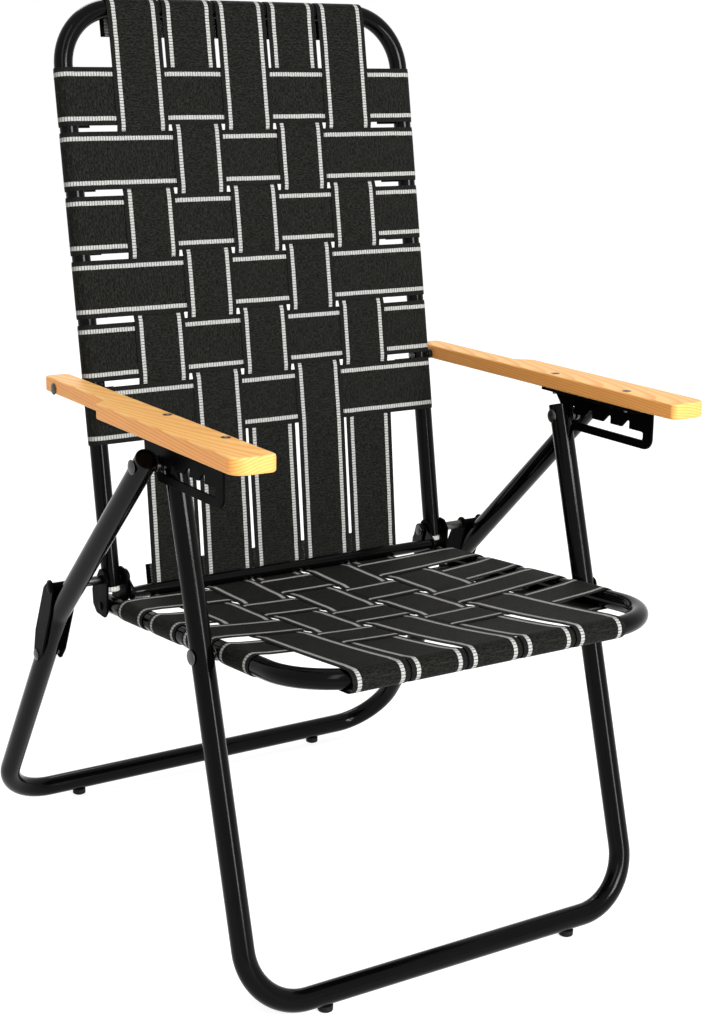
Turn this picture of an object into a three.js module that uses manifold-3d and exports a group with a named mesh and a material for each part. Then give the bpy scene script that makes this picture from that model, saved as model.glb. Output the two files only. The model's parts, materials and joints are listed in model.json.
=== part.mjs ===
// Folding webbed lawn chair with wooden armrests and a back that reclines in four notches.
// Millimetres. X runs across the chair, the front faces -Y, and Z is up from the floor.

import * as THREE from 'three';
import { mergeVertices } from 'three/addons/utils/BufferGeometryUtils.js';
import Module from 'manifold-3d';

const wasm = await Module();
wasm.setup();

const degree = Math.PI / 180;

// Fits shared by the whole chair
const fit = 0.3;
const pivotFit = 0.35;
const cutOverrun = 1;
const weldTolerance = 0.0001;

// Tubes
const legRadius = 11;
const legWall = 1.3;
const rackRadius = 9.5;
const rackWall = 1.2;
const tubeSides = 12;
const boreSides = 8;
const bendSteps = 5;
const kneeSteps = 3;

// Legs. Both leg frames hang from one pivot line under the armrests.
const studHeight = 7;
const studRadius = 7.5;
const studFlatRadius = 5.5;
const studSoleRise = 1.2;
const legPivotY = -78;
const legPivotZ = 506;
const frontFootY = -240.3;
const rearFootY = 299.7;
const rearKneeY = 123.1;
const rearKneeZ = 298.7;
const legTopLength = 12;
const legCornerRadius = 60;
const kneeRadius = 60;
const frontStudInset = 79.4;
const rearStudInset = 96.2;
const footZ = studHeight + legRadius;

// Seat
const seatRearY = 122;
const seatRearZ = 302.3;
const seatLength = 419.7;
const seatRise = 7.44 * degree;
const seatCornerRadius = 76;

// Back, which turns on the hinge bolts at its lower ends
const hingeAhead = 7.7;
const hingeRise = 29.2;
const hingeY = seatRearY - hingeAhead;
const hingeZ = seatRearZ + hingeRise;
const backLean = 11.95 * degree;
const backTopLength = 580.3;
const backTailLength = 8;
const backPlugRadius = 8;
const backPlugLength = 5.5;
const backCornerRadius = 60;

// Webbing
const webWidth = 58.3;
const webThickness = 0.9;
const weaveGap = 0.5;
const webTail = 27;
const seatSag = 11;
const seatSpanRear = 12;
const seatBarWrapTurn = 0.75 * Math.PI;
const seatLongPitch = 61;
const seatLongOffset = -16;
const seatLongCount = 5;
const seatCrossPitch = 73.5;
const seatCrossFirst = 74;
const seatCrossCount = 4;
const backCrossPitch = 64.5;
const backCrossFirst = 89.5;
const backCrossCount = 6;
const backLongPitch = 62;
const backLongCount = 5;
const backSideRoom = 48.35;
const backDip = 4.5;

// Half widths, from the chair's middle to the centre line of each pair of tubes.
// The webs and the room beside them set the racks' width, and the legs stack outside the racks.
const rackToLegGap = 1.9;
const legToLadderGap = 3.85;
const ladderToLegGap = 4.25;
const ladderSheet = 2.5;
const rackHalfWidth = ((backLongCount - 1) / 2) * backLongPitch + webWidth / 2 + backSideRoom;
const frontLegHalfWidth = rackHalfWidth + rackRadius + rackToLegGap + legRadius;
const ladderX = frontLegHalfWidth + legRadius + legToLadderGap + ladderSheet / 2;
const rearLegHalfWidth = ladderX + ladderSheet / 2 + ladderToLegGap + legRadius;
const frontStudX = frontLegHalfWidth - frontStudInset;
const rearStudX = rearLegHalfWidth - rearStudInset;

// Crossbars with flattened ears on the hinge bolts
const barRadius = 6.35;
const barSides = 12;
const seatBarAheadOfHinge = 20.3;
const seatBarDrop = 11.5;
const backBarBehindHinge = 6.7;
const backBarDrop = 22.5;
const earRadius = 8;
const earThickness = 2.4;
const earTaperLength = 14;

// Hinge plates either side of the seat and back tubes
const plateThickness = 2.5;
const plateRivetRadius = 5;
const plateRivetHeight = 1.4;
const plateRivetSetback = 9;
const plateWidth = 37;
const plateHeight = 51;
const plateOutlineShares = [
  [-0.43, -0.61], [-0.43, 0.06], [-0.22, 0.22], [0.06, 0.235],
  [0.57, -0.29], [0.51, -0.61], [0.27, -0.76], [-0.27, -0.76],
];

// Links from the hinge bolts down to the rear legs
const linkFootBehindKnee = 28.9;
const linkFootBelowKnee = 52.7;
const linkFootY = rearKneeY + linkFootBehindKnee;
const linkFootZ = rearKneeZ - linkFootBelowKnee;
const linkSheet = 2;
const linkSideFit = 0.5;
const linkHeadRadius = 8;
const linkFootRadius = 7.5;
const linkFront = 11;
const linkRear = 13;
const linkShoulder = 24;
const linkWebStart = 34;
const linkWebEnd = 84;
const linkSleeveRadius = 4.75;
const linkRivetHeadRadius = 6;
const linkRivetHeadHeight = 1.6;

// Bolts and rivets
const boltRadius = 3;
const boltHeadRadius = 6;
const boltHeadHeight = 2.2;
const headCrownShare = 0.75;
const armBoltRadius = 2.8;
const legPinRadius = 3.6;
const legPinHeadRadius = 7;
const seatRivetRadius = 3.2;
const seatRivetHeadRadius = 7.5;
const seatRivetTailRadius = 6;
const seatWasherRadius = 5.5;
const spacerRadius = 5;
const roundSides = 12;

// Armrests
const armInnerReach = 22.6;
const armOuterReach = 20;
const armNarrowReach = 4.3;
const armInnerX = ladderX - armInnerReach;
const armOuterX = ladderX + armOuterReach;
const armNarrowX = ladderX + armNarrowReach;
const armAhead = 413.6;
const armBehind = 25.5;
const armThickness = 15.5;
const armCentreRise = 2.4;
const armRise = 2.5 * degree;
const armShoulder = 123.7;
const armShoulderRun = 14;
const armRounding = 2;
const armFrontOuterRadius = 14;
const armFrontInnerRadius = 7;
const armRearRadius = 6;
const armScrewInset = 15;
const armScrewX = ladderX - armScrewInset;
const armScrewAhead = [220, 334];
const screwRadius = 2.2;
const screwHeadRadius = 4.6;
const screwHeadHeight = 1.5;
const screwTail = 3;

// Notched ladder plates under the armrests, which slide over the leg pivots
const ladderRear = 204;
const ladderFront = 358.3;
const ladderFootRear = 232.6;
const ladderDepth = 42.6;
const ladderHeelDepth = 7.5;
const ladderHeelRadius = 2.5;
const ladderCornerRadius = 12;
const ladderFlangeReach = 21.6;
const ladderFlangeInnerX = ladderX - ladderFlangeReach;
const slotFloorHeight = 8.6;
const slotHeight = 8.4;
const slotFront = 345;
const notchDepth = 8;
const notchWidth = 8.5;
const notchCrown = 3.5;
const notchPitch = 29.1;
const notchCount = 4;
const slotRearMargin = 5;
const pinBelowRoof = 0.6;
const armBottom = armCentreRise - armThickness / 2;
const armTop = armCentreRise + armThickness / 2;
const ladderTop = armBottom - fit;
const ladderFoot = ladderTop - ladderDepth;
const slotFloor = ladderFoot + slotFloorHeight;
const slotRoof = slotFloor + slotHeight;

// The arm bolts' height up the back tubes puts the leg pins in the ladders' first notches
const pinOffHinge = (legPivotY - hingeY) * Math.sin(armRise) + (legPivotZ - hingeZ) * Math.cos(armRise);
const armPivotHeight = (pinOffHinge - slotRoof + pinBelowRoof) / Math.cos(backLean - armRise);

// Materials

function paint(colour, roughness, metalness) {
  return new THREE.MeshStandardMaterial({ color: colour, roughness, metalness });
}

const blackPaint = paint(0x101010, 0.3, 0.2);
const webbingCloth = paint(0x1d1c1b, 0.85, 0);
const pine = paint(0xd99a4e, 0.5, 0);
const blackPlastic = paint(0x0d0d0d, 0.55, 0);
const paleNylon = paint(0xd2d2cd, 0.5, 0);
const zinc = paint(0xb9b9b6, 0.35, 0.9);

// Solids: geometries joined and cut

function toSolid(geometry) {
  const bare = geometry.index ? geometry.toNonIndexed() : geometry.clone();
  bare.deleteAttribute('normal');
  bare.deleteAttribute('uv');
  const merged = mergeVertices(bare, weldTolerance);
  const mesh = new wasm.Mesh({
    numProp: 3,
    vertProperties: new Float32Array(merged.attributes.position.array),
    triVerts: new Uint32Array(merged.index.array),
  });
  return new wasm.Manifold(mesh);
}

function fromSolid(solid) {
  const mesh = solid.getMesh();
  const geometry = new THREE.BufferGeometry();
  geometry.setAttribute('position', new THREE.BufferAttribute(new Float32Array(mesh.vertProperties), 3));
  geometry.setIndex(new THREE.BufferAttribute(new Uint32Array(mesh.triVerts), 1));
  geometry.computeVertexNormals();
  return geometry;
}

function cutAway(body, cutters) {
  let solid = toSolid(body);
  for (const cutter of cutters) solid = solid.subtract(toSolid(cutter));
  return fromSolid(solid);
}

function joinAll(bodies) {
  let solid = toSolid(bodies[0]);
  for (const body of bodies.slice(1)) solid = solid.add(toSolid(body));
  return fromSolid(solid);
}

// A round rod along X from one place to another, at a height and depth
function rodAlongX(radius, fromX, toX, y, z, sides = roundSides) {
  const geometry = new THREE.CylinderGeometry(radius, radius, Math.abs(toX - fromX), sides);
  geometry.rotateZ(Math.PI / 2);
  geometry.translate((fromX + toX) / 2, y, z);
  return geometry;
}

// A turned piece along X: each step is [x, radius], and both ends close on the axis
function turnedAlongX(steps, y, z, sides = roundSides) {
  const profile = steps.map(([x, radius]) => new THREE.Vector2(radius, x));
  const first = steps[0][0];
  const last = steps[steps.length - 1][0];
  const closed = [new THREE.Vector2(0, first), ...profile, new THREE.Vector2(0, last)];
  const ordered = last > first ? closed : closed.reverse();
  const geometry = new THREE.LatheGeometry(ordered, sides);
  geometry.rotateZ(-Math.PI / 2);
  geometry.translate(0, y, z);
  return geometry;
}

// A flat plate across X from an outline in Y and Z, centred on X = 0
function plateAcrossX(shape, thickness, curveSegments = 4) {
  const geometry = new THREE.ExtrudeGeometry(shape, {
    depth: thickness, bevelEnabled: false, curveSegments,
  });
  const sideways = new THREE.Matrix4().makeBasis(
    new THREE.Vector3(0, 1, 0), new THREE.Vector3(0, 0, 1), new THREE.Vector3(1, 0, 0),
  );
  geometry.applyMatrix4(sideways);
  geometry.translate(-thickness / 2, 0, 0);
  return geometry;
}

// Tubes: a path that has a ring at each end and several round each bend

class RingPath extends THREE.Curve {
  constructor(rings) {
    super();
    this.rings = rings;
  }

  getPoint(t, target = new THREE.Vector3()) {
    return target.copy(this.rings[Math.round(t * (this.rings.length - 1))]);
  }

  getPointAt(t, target) {
    return this.getPoint(t, target);
  }

  getSpacedPoints() {
    return this.rings.map((ring) => ring.clone());
  }

  getTangentAt(t, target = new THREE.Vector3()) {
    const index = Math.round(t * (this.rings.length - 1));
    const here = this.rings[index];
    const before = this.rings[Math.max(index - 1, 0)];
    const after = this.rings[Math.min(index + 1, this.rings.length - 1)];
    const arriving = here.clone().sub(before).normalize();
    const leaving = after.clone().sub(here).normalize();
    return target.copy(arriving).add(leaving).normalize();
  }
}

// Rings along straight runs between corners, each corner rounded to its own radius
function bentPath(corners) {
  const rings = [corners[0].at];
  for (let i = 1; i < corners.length - 1; i += 1) {
    const { at, radius, steps } = corners[i];
    const back = corners[i - 1].at.clone().sub(at).normalize();
    const on = corners[i + 1].at.clone().sub(at).normalize();
    const halfAngle = back.angleTo(on) / 2;
    const reach = radius / Math.tan(halfAngle);
    const middle = back.clone().add(on).normalize();
    const centre = at.clone().addScaledVector(middle, radius / Math.sin(halfAngle));
    const start = at.clone().addScaledVector(back, reach).sub(centre);
    const end = at.clone().addScaledVector(on, reach).sub(centre);
    const turn = new THREE.Quaternion().setFromUnitVectors(
      start.clone().normalize(), end.clone().normalize(),
    );
    for (let step = 0; step <= steps; step += 1) {
      const partial = new THREE.Quaternion().slerp(turn, step / steps);
      rings.push(start.clone().applyQuaternion(partial).add(centre));
    }
  }
  rings.push(corners[corners.length - 1].at);
  return new RingPath(rings);
}

function ringPoints(radius, sides) {
  const points = [];
  for (let i = 0; i < sides; i += 1) {
    const angle = (i * 2 * Math.PI) / sides;
    points.push(new THREE.Vector2(Math.cos(angle), Math.sin(angle)).multiplyScalar(radius));
  }
  return points;
}

function bentTube(corners, radius, wall) {
  const section = new THREE.Shape(ringPoints(radius, tubeSides));
  section.holes.push(new THREE.Path(ringPoints(radius - wall, boreSides)));
  const path = bentPath(corners);
  return new THREE.ExtrudeGeometry(section, {
    steps: path.rings.length - 1, bevelEnabled: false, extrudePath: path,
  });
}

// A corner list for a hoop: up one side, across and down the other
function hoopCorners(halfWidth, side, cornerRadius) {
  const place = (sign, [y, z]) => new THREE.Vector3(sign * halfWidth, y, z);
  const corners = side.map((stop) => ({ at: place(-1, stop.at), radius: stop.radius, steps: stop.steps }));
  const far = [...side].reverse();
  const mirrored = far.map((stop) => ({ at: place(1, stop.at), radius: stop.radius, steps: stop.steps }));
  const joined = [...corners, ...mirrored];
  for (const corner of [joined[side.length - 1], joined[side.length]]) {
    corner.radius = cornerRadius;
    corner.steps = bendSteps;
  }
  return joined;
}

// Holes through both tubes of a pair
function sideHoles(radius, halfWidth, tubeRadius, y, z) {
  return [-1, 1].map((side) => rodAlongX(
    radius,
    side * (halfWidth - tubeRadius - cutOverrun),
    side * (halfWidth + tubeRadius + cutOverrun),
    y,
    z,
  ));
}

// Webbing: a ribbon with a middle line of stations, solid across its width and thickness.
// Each station is a function of the distance across the ribbon that gives a point.

const acrossShares = [-0.5, 0.5];
const leastMitreCosine = 0.5;

function ribbon(stations, across) {
  const rows = stations.map((station) => acrossShares.map((share) => station(share * webWidth)));
  const rowCount = rows.length;
  const columnCount = acrossShares.length;
  const positions = [];
  for (const side of [1, -1]) {
    rows.forEach((row, i) => {
      row.forEach((point, j) => {
        const before = rows[Math.max(i - 1, 0)][j];
        const after = rows[Math.min(i + 1, rowCount - 1)][j];
        const arriving = point.clone().sub(before).normalize();
        const leaving = after.clone().sub(point).normalize();
        const tangent = arriving.clone().add(leaving).normalize();
        const normal = tangent.clone().cross(across).normalize();
        const stretch = 1 / Math.max(tangent.dot(i === 0 ? leaving : arriving), leastMitreCosine);
        const offset = (side * stretch * webThickness) / 2;
        positions.push(...point.clone().addScaledVector(normal, offset).toArray());
      });
    });
  }
  const faceSize = rowCount * columnCount;
  const indices = [];
  const quad = (a, b, c, d) => indices.push(a, b, c, a, c, d);
  for (let i = 0; i < rowCount - 1; i += 1) {
    for (let j = 0; j < columnCount - 1; j += 1) {
      const corner = i * columnCount + j;
      const next = corner + columnCount;
      quad(corner, next, next + 1, corner + 1);
      quad(corner + faceSize, corner + faceSize + 1, next + faceSize + 1, next + faceSize);
    }
    const left = i * columnCount;
    const right = left + columnCount - 1;
    quad(left, left + faceSize, left + columnCount + faceSize, left + columnCount);
    quad(right, right + columnCount, right + columnCount + faceSize, right + faceSize);
  }
  const last = (rowCount - 1) * columnCount;
  for (let j = 0; j < columnCount - 1; j += 1) {
    quad(j, j + 1, j + 1 + faceSize, j + faceSize);
    quad(last + j, last + j + faceSize, last + j + 1 + faceSize, last + j + 1);
  }
  const geometry = new THREE.BufferGeometry();
  geometry.setAttribute('position', new THREE.Float32BufferAttribute(positions, 3));
  geometry.setIndex(indices);
  geometry.computeVertexNormals();
  return geometry;
}

// How far a web's middle lies from the surface of the tube that it wraps
const wrapStandoff = fit + webThickness / 2;
const weaveLift = (webThickness + weaveGap) / 2;

// Over or under: rows of marks where one web crosses the others, with flat stretches between
function weaveStations(crossings, firstOver) {
  const marks = [];
  crossings.forEach((centre, index) => {
    const over = (index % 2 === 0) === firstOver;
    const lift = over ? weaveLift : -weaveLift;
    marks.push({ along: centre - webWidth / 2, lift });
    marks.push({ along: centre + webWidth / 2, lift });
  });
  return marks;
}

// Stations round a tube match its sides, so that the web lies flat on each of them
const wrapSteps = tubeSides / 2;
const wrapShares = Array.from({ length: wrapSteps + 1 }, (_, step) => step / wrapSteps);
const barWrapStretch = 1 / Math.cos(Math.PI / barSides);

// The chair: one group for each piece that moves as one

const chair = new THREE.Group();

function bodyGroup(parent, label, y, z) {
  const group = new THREE.Group();
  group.name = label;
  group.position.set(0, y, z);
  parent.add(group);
  return group;
}

function tiltedGroup(parent, tilt) {
  const group = new THREE.Group();
  group.rotation.x = tilt;
  parent.add(group);
  return group;
}

function addMesh(group, name, geometry, material) {
  const mesh = new THREE.Mesh(geometry, material.clone());
  mesh.name = name;
  group.add(mesh);
  return mesh;
}

const sides = [{ label: 'left', sign: -1 }, { label: 'right', sign: 1 }];

// A foot stud with its sole on the floor
function studGeometry(x, y) {
  const profile = [
    new THREE.Vector2(0, 0),
    new THREE.Vector2(studFlatRadius, 0),
    new THREE.Vector2(studRadius, studSoleRise),
    new THREE.Vector2(studRadius, studHeight - fit),
    new THREE.Vector2(0, studHeight - fit),
  ];
  const geometry = new THREE.LatheGeometry(profile, roundSides);
  geometry.rotateX(Math.PI / 2);
  geometry.translate(x, y, 0);
  return geometry;
}

// Front legs: a hoop from the leg pivot down to the front foot bar

// The seat is riveted to the front legs where its side tubes cross them
const legRunY = frontFootY - legPivotY;
const legRunZ = footZ - legPivotZ;
const frontLegDrop = Math.hypot(legRunY, legRunZ);
const frontLegTilt = -Math.atan2(-legRunY, -legRunZ);
const seatPivotFromRear = ((seatRearY - legPivotY) * legRunZ - (seatRearZ - legPivotZ) * legRunY)
  / (Math.cos(seatRise) * legRunZ + Math.sin(seatRise) * legRunY);
const seatPivotY = seatRearY - seatPivotFromRear * Math.cos(seatRise);
const seatPivotZ = seatRearZ + seatPivotFromRear * Math.sin(seatRise);
const seatPivotDrop = Math.hypot(seatPivotY - legPivotY, seatPivotZ - legPivotZ);

const frontLegs = bodyGroup(chair, 'front_legs', legPivotY, legPivotZ);
const frontLegPlane = tiltedGroup(frontLegs, frontLegTilt);
const frontHoop = hoopCorners(
  frontLegHalfWidth,
  [{ at: [0, legTopLength] }, { at: [0, -frontLegDrop] }],
  legCornerRadius,
);
addMesh(
  frontLegPlane,
  'front_leg_frame',
  cutAway(bentTube(frontHoop, legRadius, legWall), [
    ...sideHoles(legPinRadius + fit, frontLegHalfWidth, legRadius, 0, 0),
    ...sideHoles(seatRivetRadius + fit, frontLegHalfWidth, legRadius, 0, -seatPivotDrop),
  ]),
  blackPaint,
);
for (const { label, sign } of sides) {
  const stud = studGeometry(sign * frontStudX, frontFootY);
  stud.translate(0, -legPivotY, -legPivotZ);
  addMesh(frontLegs, `front_foot_stud_${label}`, stud, blackPlastic);
}

// The leg pin in the front leg stops just short of the ladder plate
const ladderInnerFace = ladderX - ladderSheet / 2;
const ladderOuterFace = ladderX + ladderSheet / 2;
for (const { label, sign } of sides) {
  const headFace = frontLegHalfWidth - legRadius - fit;
  const shoulderFace = frontLegHalfWidth + legRadius + fit;
  const pin = turnedAlongX([
    [sign * (headFace - boltHeadHeight), legPinHeadRadius * headCrownShare],
    [sign * headFace, legPinHeadRadius],
    [sign * headFace, legPinRadius],
    [sign * shoulderFace, legPinRadius],
    [sign * shoulderFace, legPinHeadRadius],
    [sign * (ladderInnerFace - pivotFit), legPinHeadRadius],
  ], 0, 0);
  addMesh(frontLegs, `leg_pin_inner_${label}`, pin, zinc);
}

// Seat: a hoop whose rear ends sit between the hinge plates

const seat = bodyGroup(chair, 'seat', seatPivotY, seatPivotZ);
const seatPlane = tiltedGroup(seat, -seatRise);
seatPlane.position.set(0, seatRearY - seatPivotY, seatRearZ - seatPivotZ);

// In the seat's plane, Y is minus the distance ahead of its rear end and Z is off the plane
const seatHoop = hoopCorners(
  rackHalfWidth,
  [{ at: [0, 0] }, { at: [-seatLength, 0] }],
  seatCornerRadius,
);
addMesh(
  seatPlane,
  'seat_frame',
  cutAway(bentTube(seatHoop, rackRadius, rackWall), [
    ...sideHoles(seatRivetRadius + fit, rackHalfWidth, rackRadius, -seatPivotFromRear, 0),
  ]),
  blackPaint,
);

// Seat rivets: head inside the seat tube's plane, washer between seat and leg
for (const { label, sign } of sides) {
  const innerFace = rackHalfWidth - rackRadius - fit;
  const washerStart = rackHalfWidth + rackRadius + fit;
  const washerEnd = frontLegHalfWidth - legRadius - fit;
  const outerFace = frontLegHalfWidth + legRadius + fit;
  const rivet = turnedAlongX([
    [sign * (innerFace - boltHeadHeight), seatRivetTailRadius * headCrownShare],
    [sign * innerFace, seatRivetTailRadius],
    [sign * innerFace, seatRivetRadius],
    [sign * washerStart, seatRivetRadius],
    [sign * washerStart, seatWasherRadius],
    [sign * washerEnd, seatWasherRadius],
    [sign * washerEnd, seatRivetRadius],
    [sign * outerFace, seatRivetRadius],
    [sign * outerFace, seatRivetHeadRadius],
    [sign * (outerFace + boltHeadHeight), seatRivetHeadRadius * headCrownShare],
  ], 0, 0);
  addMesh(seat, `seat_rivet_${label}`, rivet, zinc);
}

// The seat's crossbar lies ahead of and below the hinge bolts, in the webs' line of pull
const plateInnerFace = rackHalfWidth - rackRadius - fit - plateThickness;
const plateOuterFace = rackHalfWidth + rackRadius + fit + plateThickness;
const seatEarOuter = plateInnerFace - fit;
const backEarOuter = seatEarOuter - earThickness - fit;

function earShape(barY, barZ) {
  const reach = Math.hypot(barY, barZ);
  const angle = Math.atan2(barZ, barY);
  const shape = new THREE.Shape();
  shape.absarc(0, 0, earRadius, angle + Math.PI / 2, angle + 1.5 * Math.PI, false);
  shape.absarc(
    reach * Math.cos(angle), reach * Math.sin(angle), earRadius,
    angle - Math.PI / 2, angle + Math.PI / 2, false,
  );
  return shape;
}

// A crossbar between two ears, each drilled for the hinge bolt; offsets are from that bolt
function earedBar(barY, barZ, earOuterX) {
  const earInnerX = earOuterX - earThickness;
  const earMiddleX = (earOuterX + earInnerX) / 2;
  const taperStartX = earInnerX - earTaperLength;
  const pieces = [turnedAlongX([
    [-earMiddleX, earRadius - earThickness],
    [-taperStartX, barRadius],
    [taperStartX, barRadius],
    [earMiddleX, earRadius - earThickness],
  ], barY, barZ, barSides)];
  for (const { sign } of sides) {
    const ear = plateAcrossX(earShape(barY, barZ), earThickness);
    ear.translate(sign * earMiddleX, 0, 0);
    pieces.push(ear);
  }
  const holes = sides.map(({ sign }) => rodAlongX(
    boltRadius + fit, sign * (earInnerX - cutOverrun), sign * (earOuterX + cutOverrun), 0, 0,
  ));
  return cutAway(joinAll(pieces), holes);
}

const seatBar = earedBar(-seatBarAheadOfHinge, -seatBarDrop, seatEarOuter);
seatBar.translate(0, hingeY - seatPivotY, hingeZ - seatPivotZ);
addMesh(seat, 'seat_rear_crossbar', seatBar, blackPaint);

// Hinge plates: a stamped outline with a bolt hole and a riveted seat tube
function hingePlate(facing) {
  const shape = new THREE.Shape(plateOutlineShares.map(
    ([y, z]) => new THREE.Vector2(y * plateWidth, z * plateHeight),
  ));
  const rivetY = hingeAhead - plateRivetSetback * Math.cos(seatRise);
  const rivetZ = plateRivetSetback * Math.sin(seatRise) - hingeRise;
  const plate = plateAcrossX(shape, plateThickness);
  const rivet = turnedAlongX([
    [0, plateRivetRadius],
    [facing * (plateThickness / 2 + plateRivetHeight / 2), plateRivetRadius],
    [facing * (plateThickness / 2 + plateRivetHeight), plateRivetRadius * headCrownShare],
  ], rivetY, rivetZ, barSides);
  const hole = rodAlongX(
    boltRadius + fit, -plateThickness / 2 - cutOverrun, plateThickness / 2 + cutOverrun, 0, 0,
  );
  return cutAway(joinAll([plate, rivet]), [hole]);
}

for (const { label, sign } of sides) {
  const inner = hingePlate(-sign);
  inner.translate(
    sign * (plateInnerFace + plateThickness / 2), hingeY - seatPivotY, hingeZ - seatPivotZ,
  );
  addMesh(seat, `hinge_plate_inner_${label}`, inner, blackPaint);
  const outer = hingePlate(sign);
  outer.translate(
    sign * (plateOuterFace - plateThickness / 2), hingeY - seatPivotY, hingeZ - seatPivotZ,
  );
  addMesh(seat, `hinge_plate_outer_${label}`, outer, blackPaint);
}

// Seat webs share one surface that sags in the middle
const seatWrapRadius = rackRadius + wrapStandoff;

function seatSurface(x, ahead) {
  const sideShare = 1 - (x / rackHalfWidth) ** 2;
  const span = seatLength - seatSpanRear;
  const lengthShare = 1 - ((ahead - seatSpanRear - span / 2) / (span / 2)) ** 2;
  return seatWrapRadius - seatSag * Math.max(sideShare, 0) * Math.max(lengthShare, 0);
}

const seatLongPlaces = [];
for (let i = 0; i < seatLongCount; i += 1) {
  seatLongPlaces.push(seatLongOffset + (i - (seatLongCount - 1) / 2) * seatLongPitch);
}
const seatCrossPlaces = [];
for (let i = 0; i < seatCrossCount; i += 1) {
  seatCrossPlaces.push(seatCrossFirst + i * seatCrossPitch);
}

function seatCrossWeb(index) {
  const ahead = seatCrossPlaces[index];
  const at = (x, off) => (width) => new THREE.Vector3(x, -(ahead + width), off);
  const onSurface = (x, lift) => (width) => (
    new THREE.Vector3(x, -(ahead + width), seatSurface(x, ahead + width) + lift)
  );
  const wrap = (sign) => wrapShares.map((share) => {
    const angle = (share - 0.5) * Math.PI;
    const out = seatWrapRadius * Math.cos(angle);
    return at(sign * (rackHalfWidth + out), seatWrapRadius * Math.sin(angle));
  });
  const tail = (sign) => at(sign * (rackHalfWidth - webTail), -seatWrapRadius);
  const woven = weaveStations(seatLongPlaces, index % 2 === 0)
    .map((mark) => onSurface(mark.along, mark.lift));
  return ribbon(
    [tail(-1), ...wrap(-1), ...woven, ...wrap(1).reverse(), tail(1)],
    new THREE.Vector3(0, -1, 0),
  );
}

for (let i = 0; i < seatCrossCount; i += 1) {
  addMesh(seatPlane, `seat_web_cross_${i + 1}`, seatCrossWeb(i), webbingCloth);
}

// The crossbar's place in the seat's plane, where the lengthwise webs end
const barBack = -(hingeAhead + seatBarAheadOfHinge);
const barUp = hingeRise - seatBarDrop;
const seatBarAhead = -(barBack * Math.cos(seatRise) - barUp * Math.sin(seatRise));
const seatBarOff = barBack * Math.sin(seatRise) + barUp * Math.cos(seatRise);
const barWrapRadius = (barRadius + wrapStandoff) * barWrapStretch;

function seatLongWeb(index) {
  const centre = seatLongPlaces[index];
  const at = (ahead, off) => (width) => new THREE.Vector3(centre + width, -ahead, off);
  const onSurface = (ahead, lift) => (width) => (
    new THREE.Vector3(centre + width, -ahead, seatSurface(centre + width, ahead) + lift)
  );
  const frontWrap = wrapShares.map((share) => {
    const angle = (0.5 - share) * Math.PI;
    const out = seatWrapRadius * Math.cos(angle);
    return at(seatLength + out, seatWrapRadius * Math.sin(angle));
  });
  const frontTail = at(seatLength - webTail, -seatWrapRadius);
  const rearWrap = wrapShares.map((share) => {
    const angle = -Math.PI / 2 - share * seatBarWrapTurn;
    return at(
      seatBarAhead + barWrapRadius * Math.cos(angle), seatBarOff + barWrapRadius * Math.sin(angle),
    );
  }).reverse();
  const woven = weaveStations(seatCrossPlaces, index % 2 === 1)
    .map((mark) => onSurface(mark.along, mark.lift));
  return ribbon([...rearWrap, ...woven, ...frontWrap, frontTail], new THREE.Vector3(1, 0, 0));
}

for (let i = 0; i < seatLongCount; i += 1) {
  addMesh(seatPlane, `seat_web_long_${i + 1}`, seatLongWeb(i), webbingCloth);
}

// Hinge bolts: from inside the ears, through plates and back tube, out to the link
const hingeAt = [hingeY - seatPivotY, hingeZ - seatPivotZ];
const linkInnerFace = rearLegHalfWidth - legRadius - linkSideFit - linkSheet;
const linkOuterFace = rearLegHalfWidth + legRadius + linkSideFit + linkSheet;
for (const { label, sign } of sides) {
  const headFace = backEarOuter - earThickness - fit;
  const collarFace = plateOuterFace + fit;
  const bolt = turnedAlongX([
    [sign * (headFace - boltHeadHeight), boltHeadRadius * headCrownShare],
    [sign * headFace, boltHeadRadius],
    [sign * headFace, boltRadius],
    [sign * collarFace, boltRadius],
    [sign * collarFace, linkSleeveRadius],
    [sign * (linkInnerFace - pivotFit), linkSleeveRadius],
  ], ...hingeAt);
  addMesh(seat, `hinge_bolt_${label}`, bolt, zinc);
}

// Back: a hoop that stands on the hinge bolts

const back = bodyGroup(seat, 'back', ...hingeAt);
const backPlane = tiltedGroup(back, -backLean);
const backHoop = hoopCorners(
  rackHalfWidth,
  [{ at: [0, -backTailLength] }, { at: [0, backTopLength] }],
  backCornerRadius,
);
addMesh(
  backPlane,
  'back_frame',
  cutAway(bentTube(backHoop, rackRadius, rackWall), [
    ...sideHoles(boltRadius + fit, rackHalfWidth, rackRadius, 0, 0),
    ...sideHoles(armBoltRadius + fit, rackHalfWidth, rackRadius, 0, armPivotHeight),
  ]),
  blackPaint,
);
for (const { label, sign } of sides) {
  const plug = new THREE.CylinderGeometry(backPlugRadius, backPlugRadius, backPlugLength, roundSides);
  plug.rotateX(Math.PI / 2);
  plug.translate(sign * rackHalfWidth, 0, -(backTailLength + fit + backPlugLength / 2));
  addMesh(backPlane, `back_plug_${label}`, plug, paleNylon);
}
addMesh(
  back,
  'back_lower_crossbar',
  earedBar(backBarBehindHinge, -backBarDrop, backEarOuter),
  blackPaint,
);

// Back webs share one surface that bows back as it nears the lower bar
const backWrapRadius = rackRadius + wrapStandoff;
const backCrossPlaces = [];
for (let i = 0; i < backCrossCount; i += 1) backCrossPlaces.push(backCrossFirst + i * backCrossPitch);
const backCrossEnd = backCrossPlaces[backCrossCount - 1] + webWidth / 2;

function backSurface(x, down) {
  const sideShare = Math.max(1 - (Math.abs(x) / rackHalfWidth) ** 4, 0);
  const downShare = (down / backCrossEnd) ** 2;
  return -(backWrapRadius - backDip * sideShare * downShare);
}

const backLongPlaces = [];
for (let i = 0; i < backLongCount; i += 1) {
  backLongPlaces.push((i - (backLongCount - 1) / 2) * backLongPitch);
}

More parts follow.
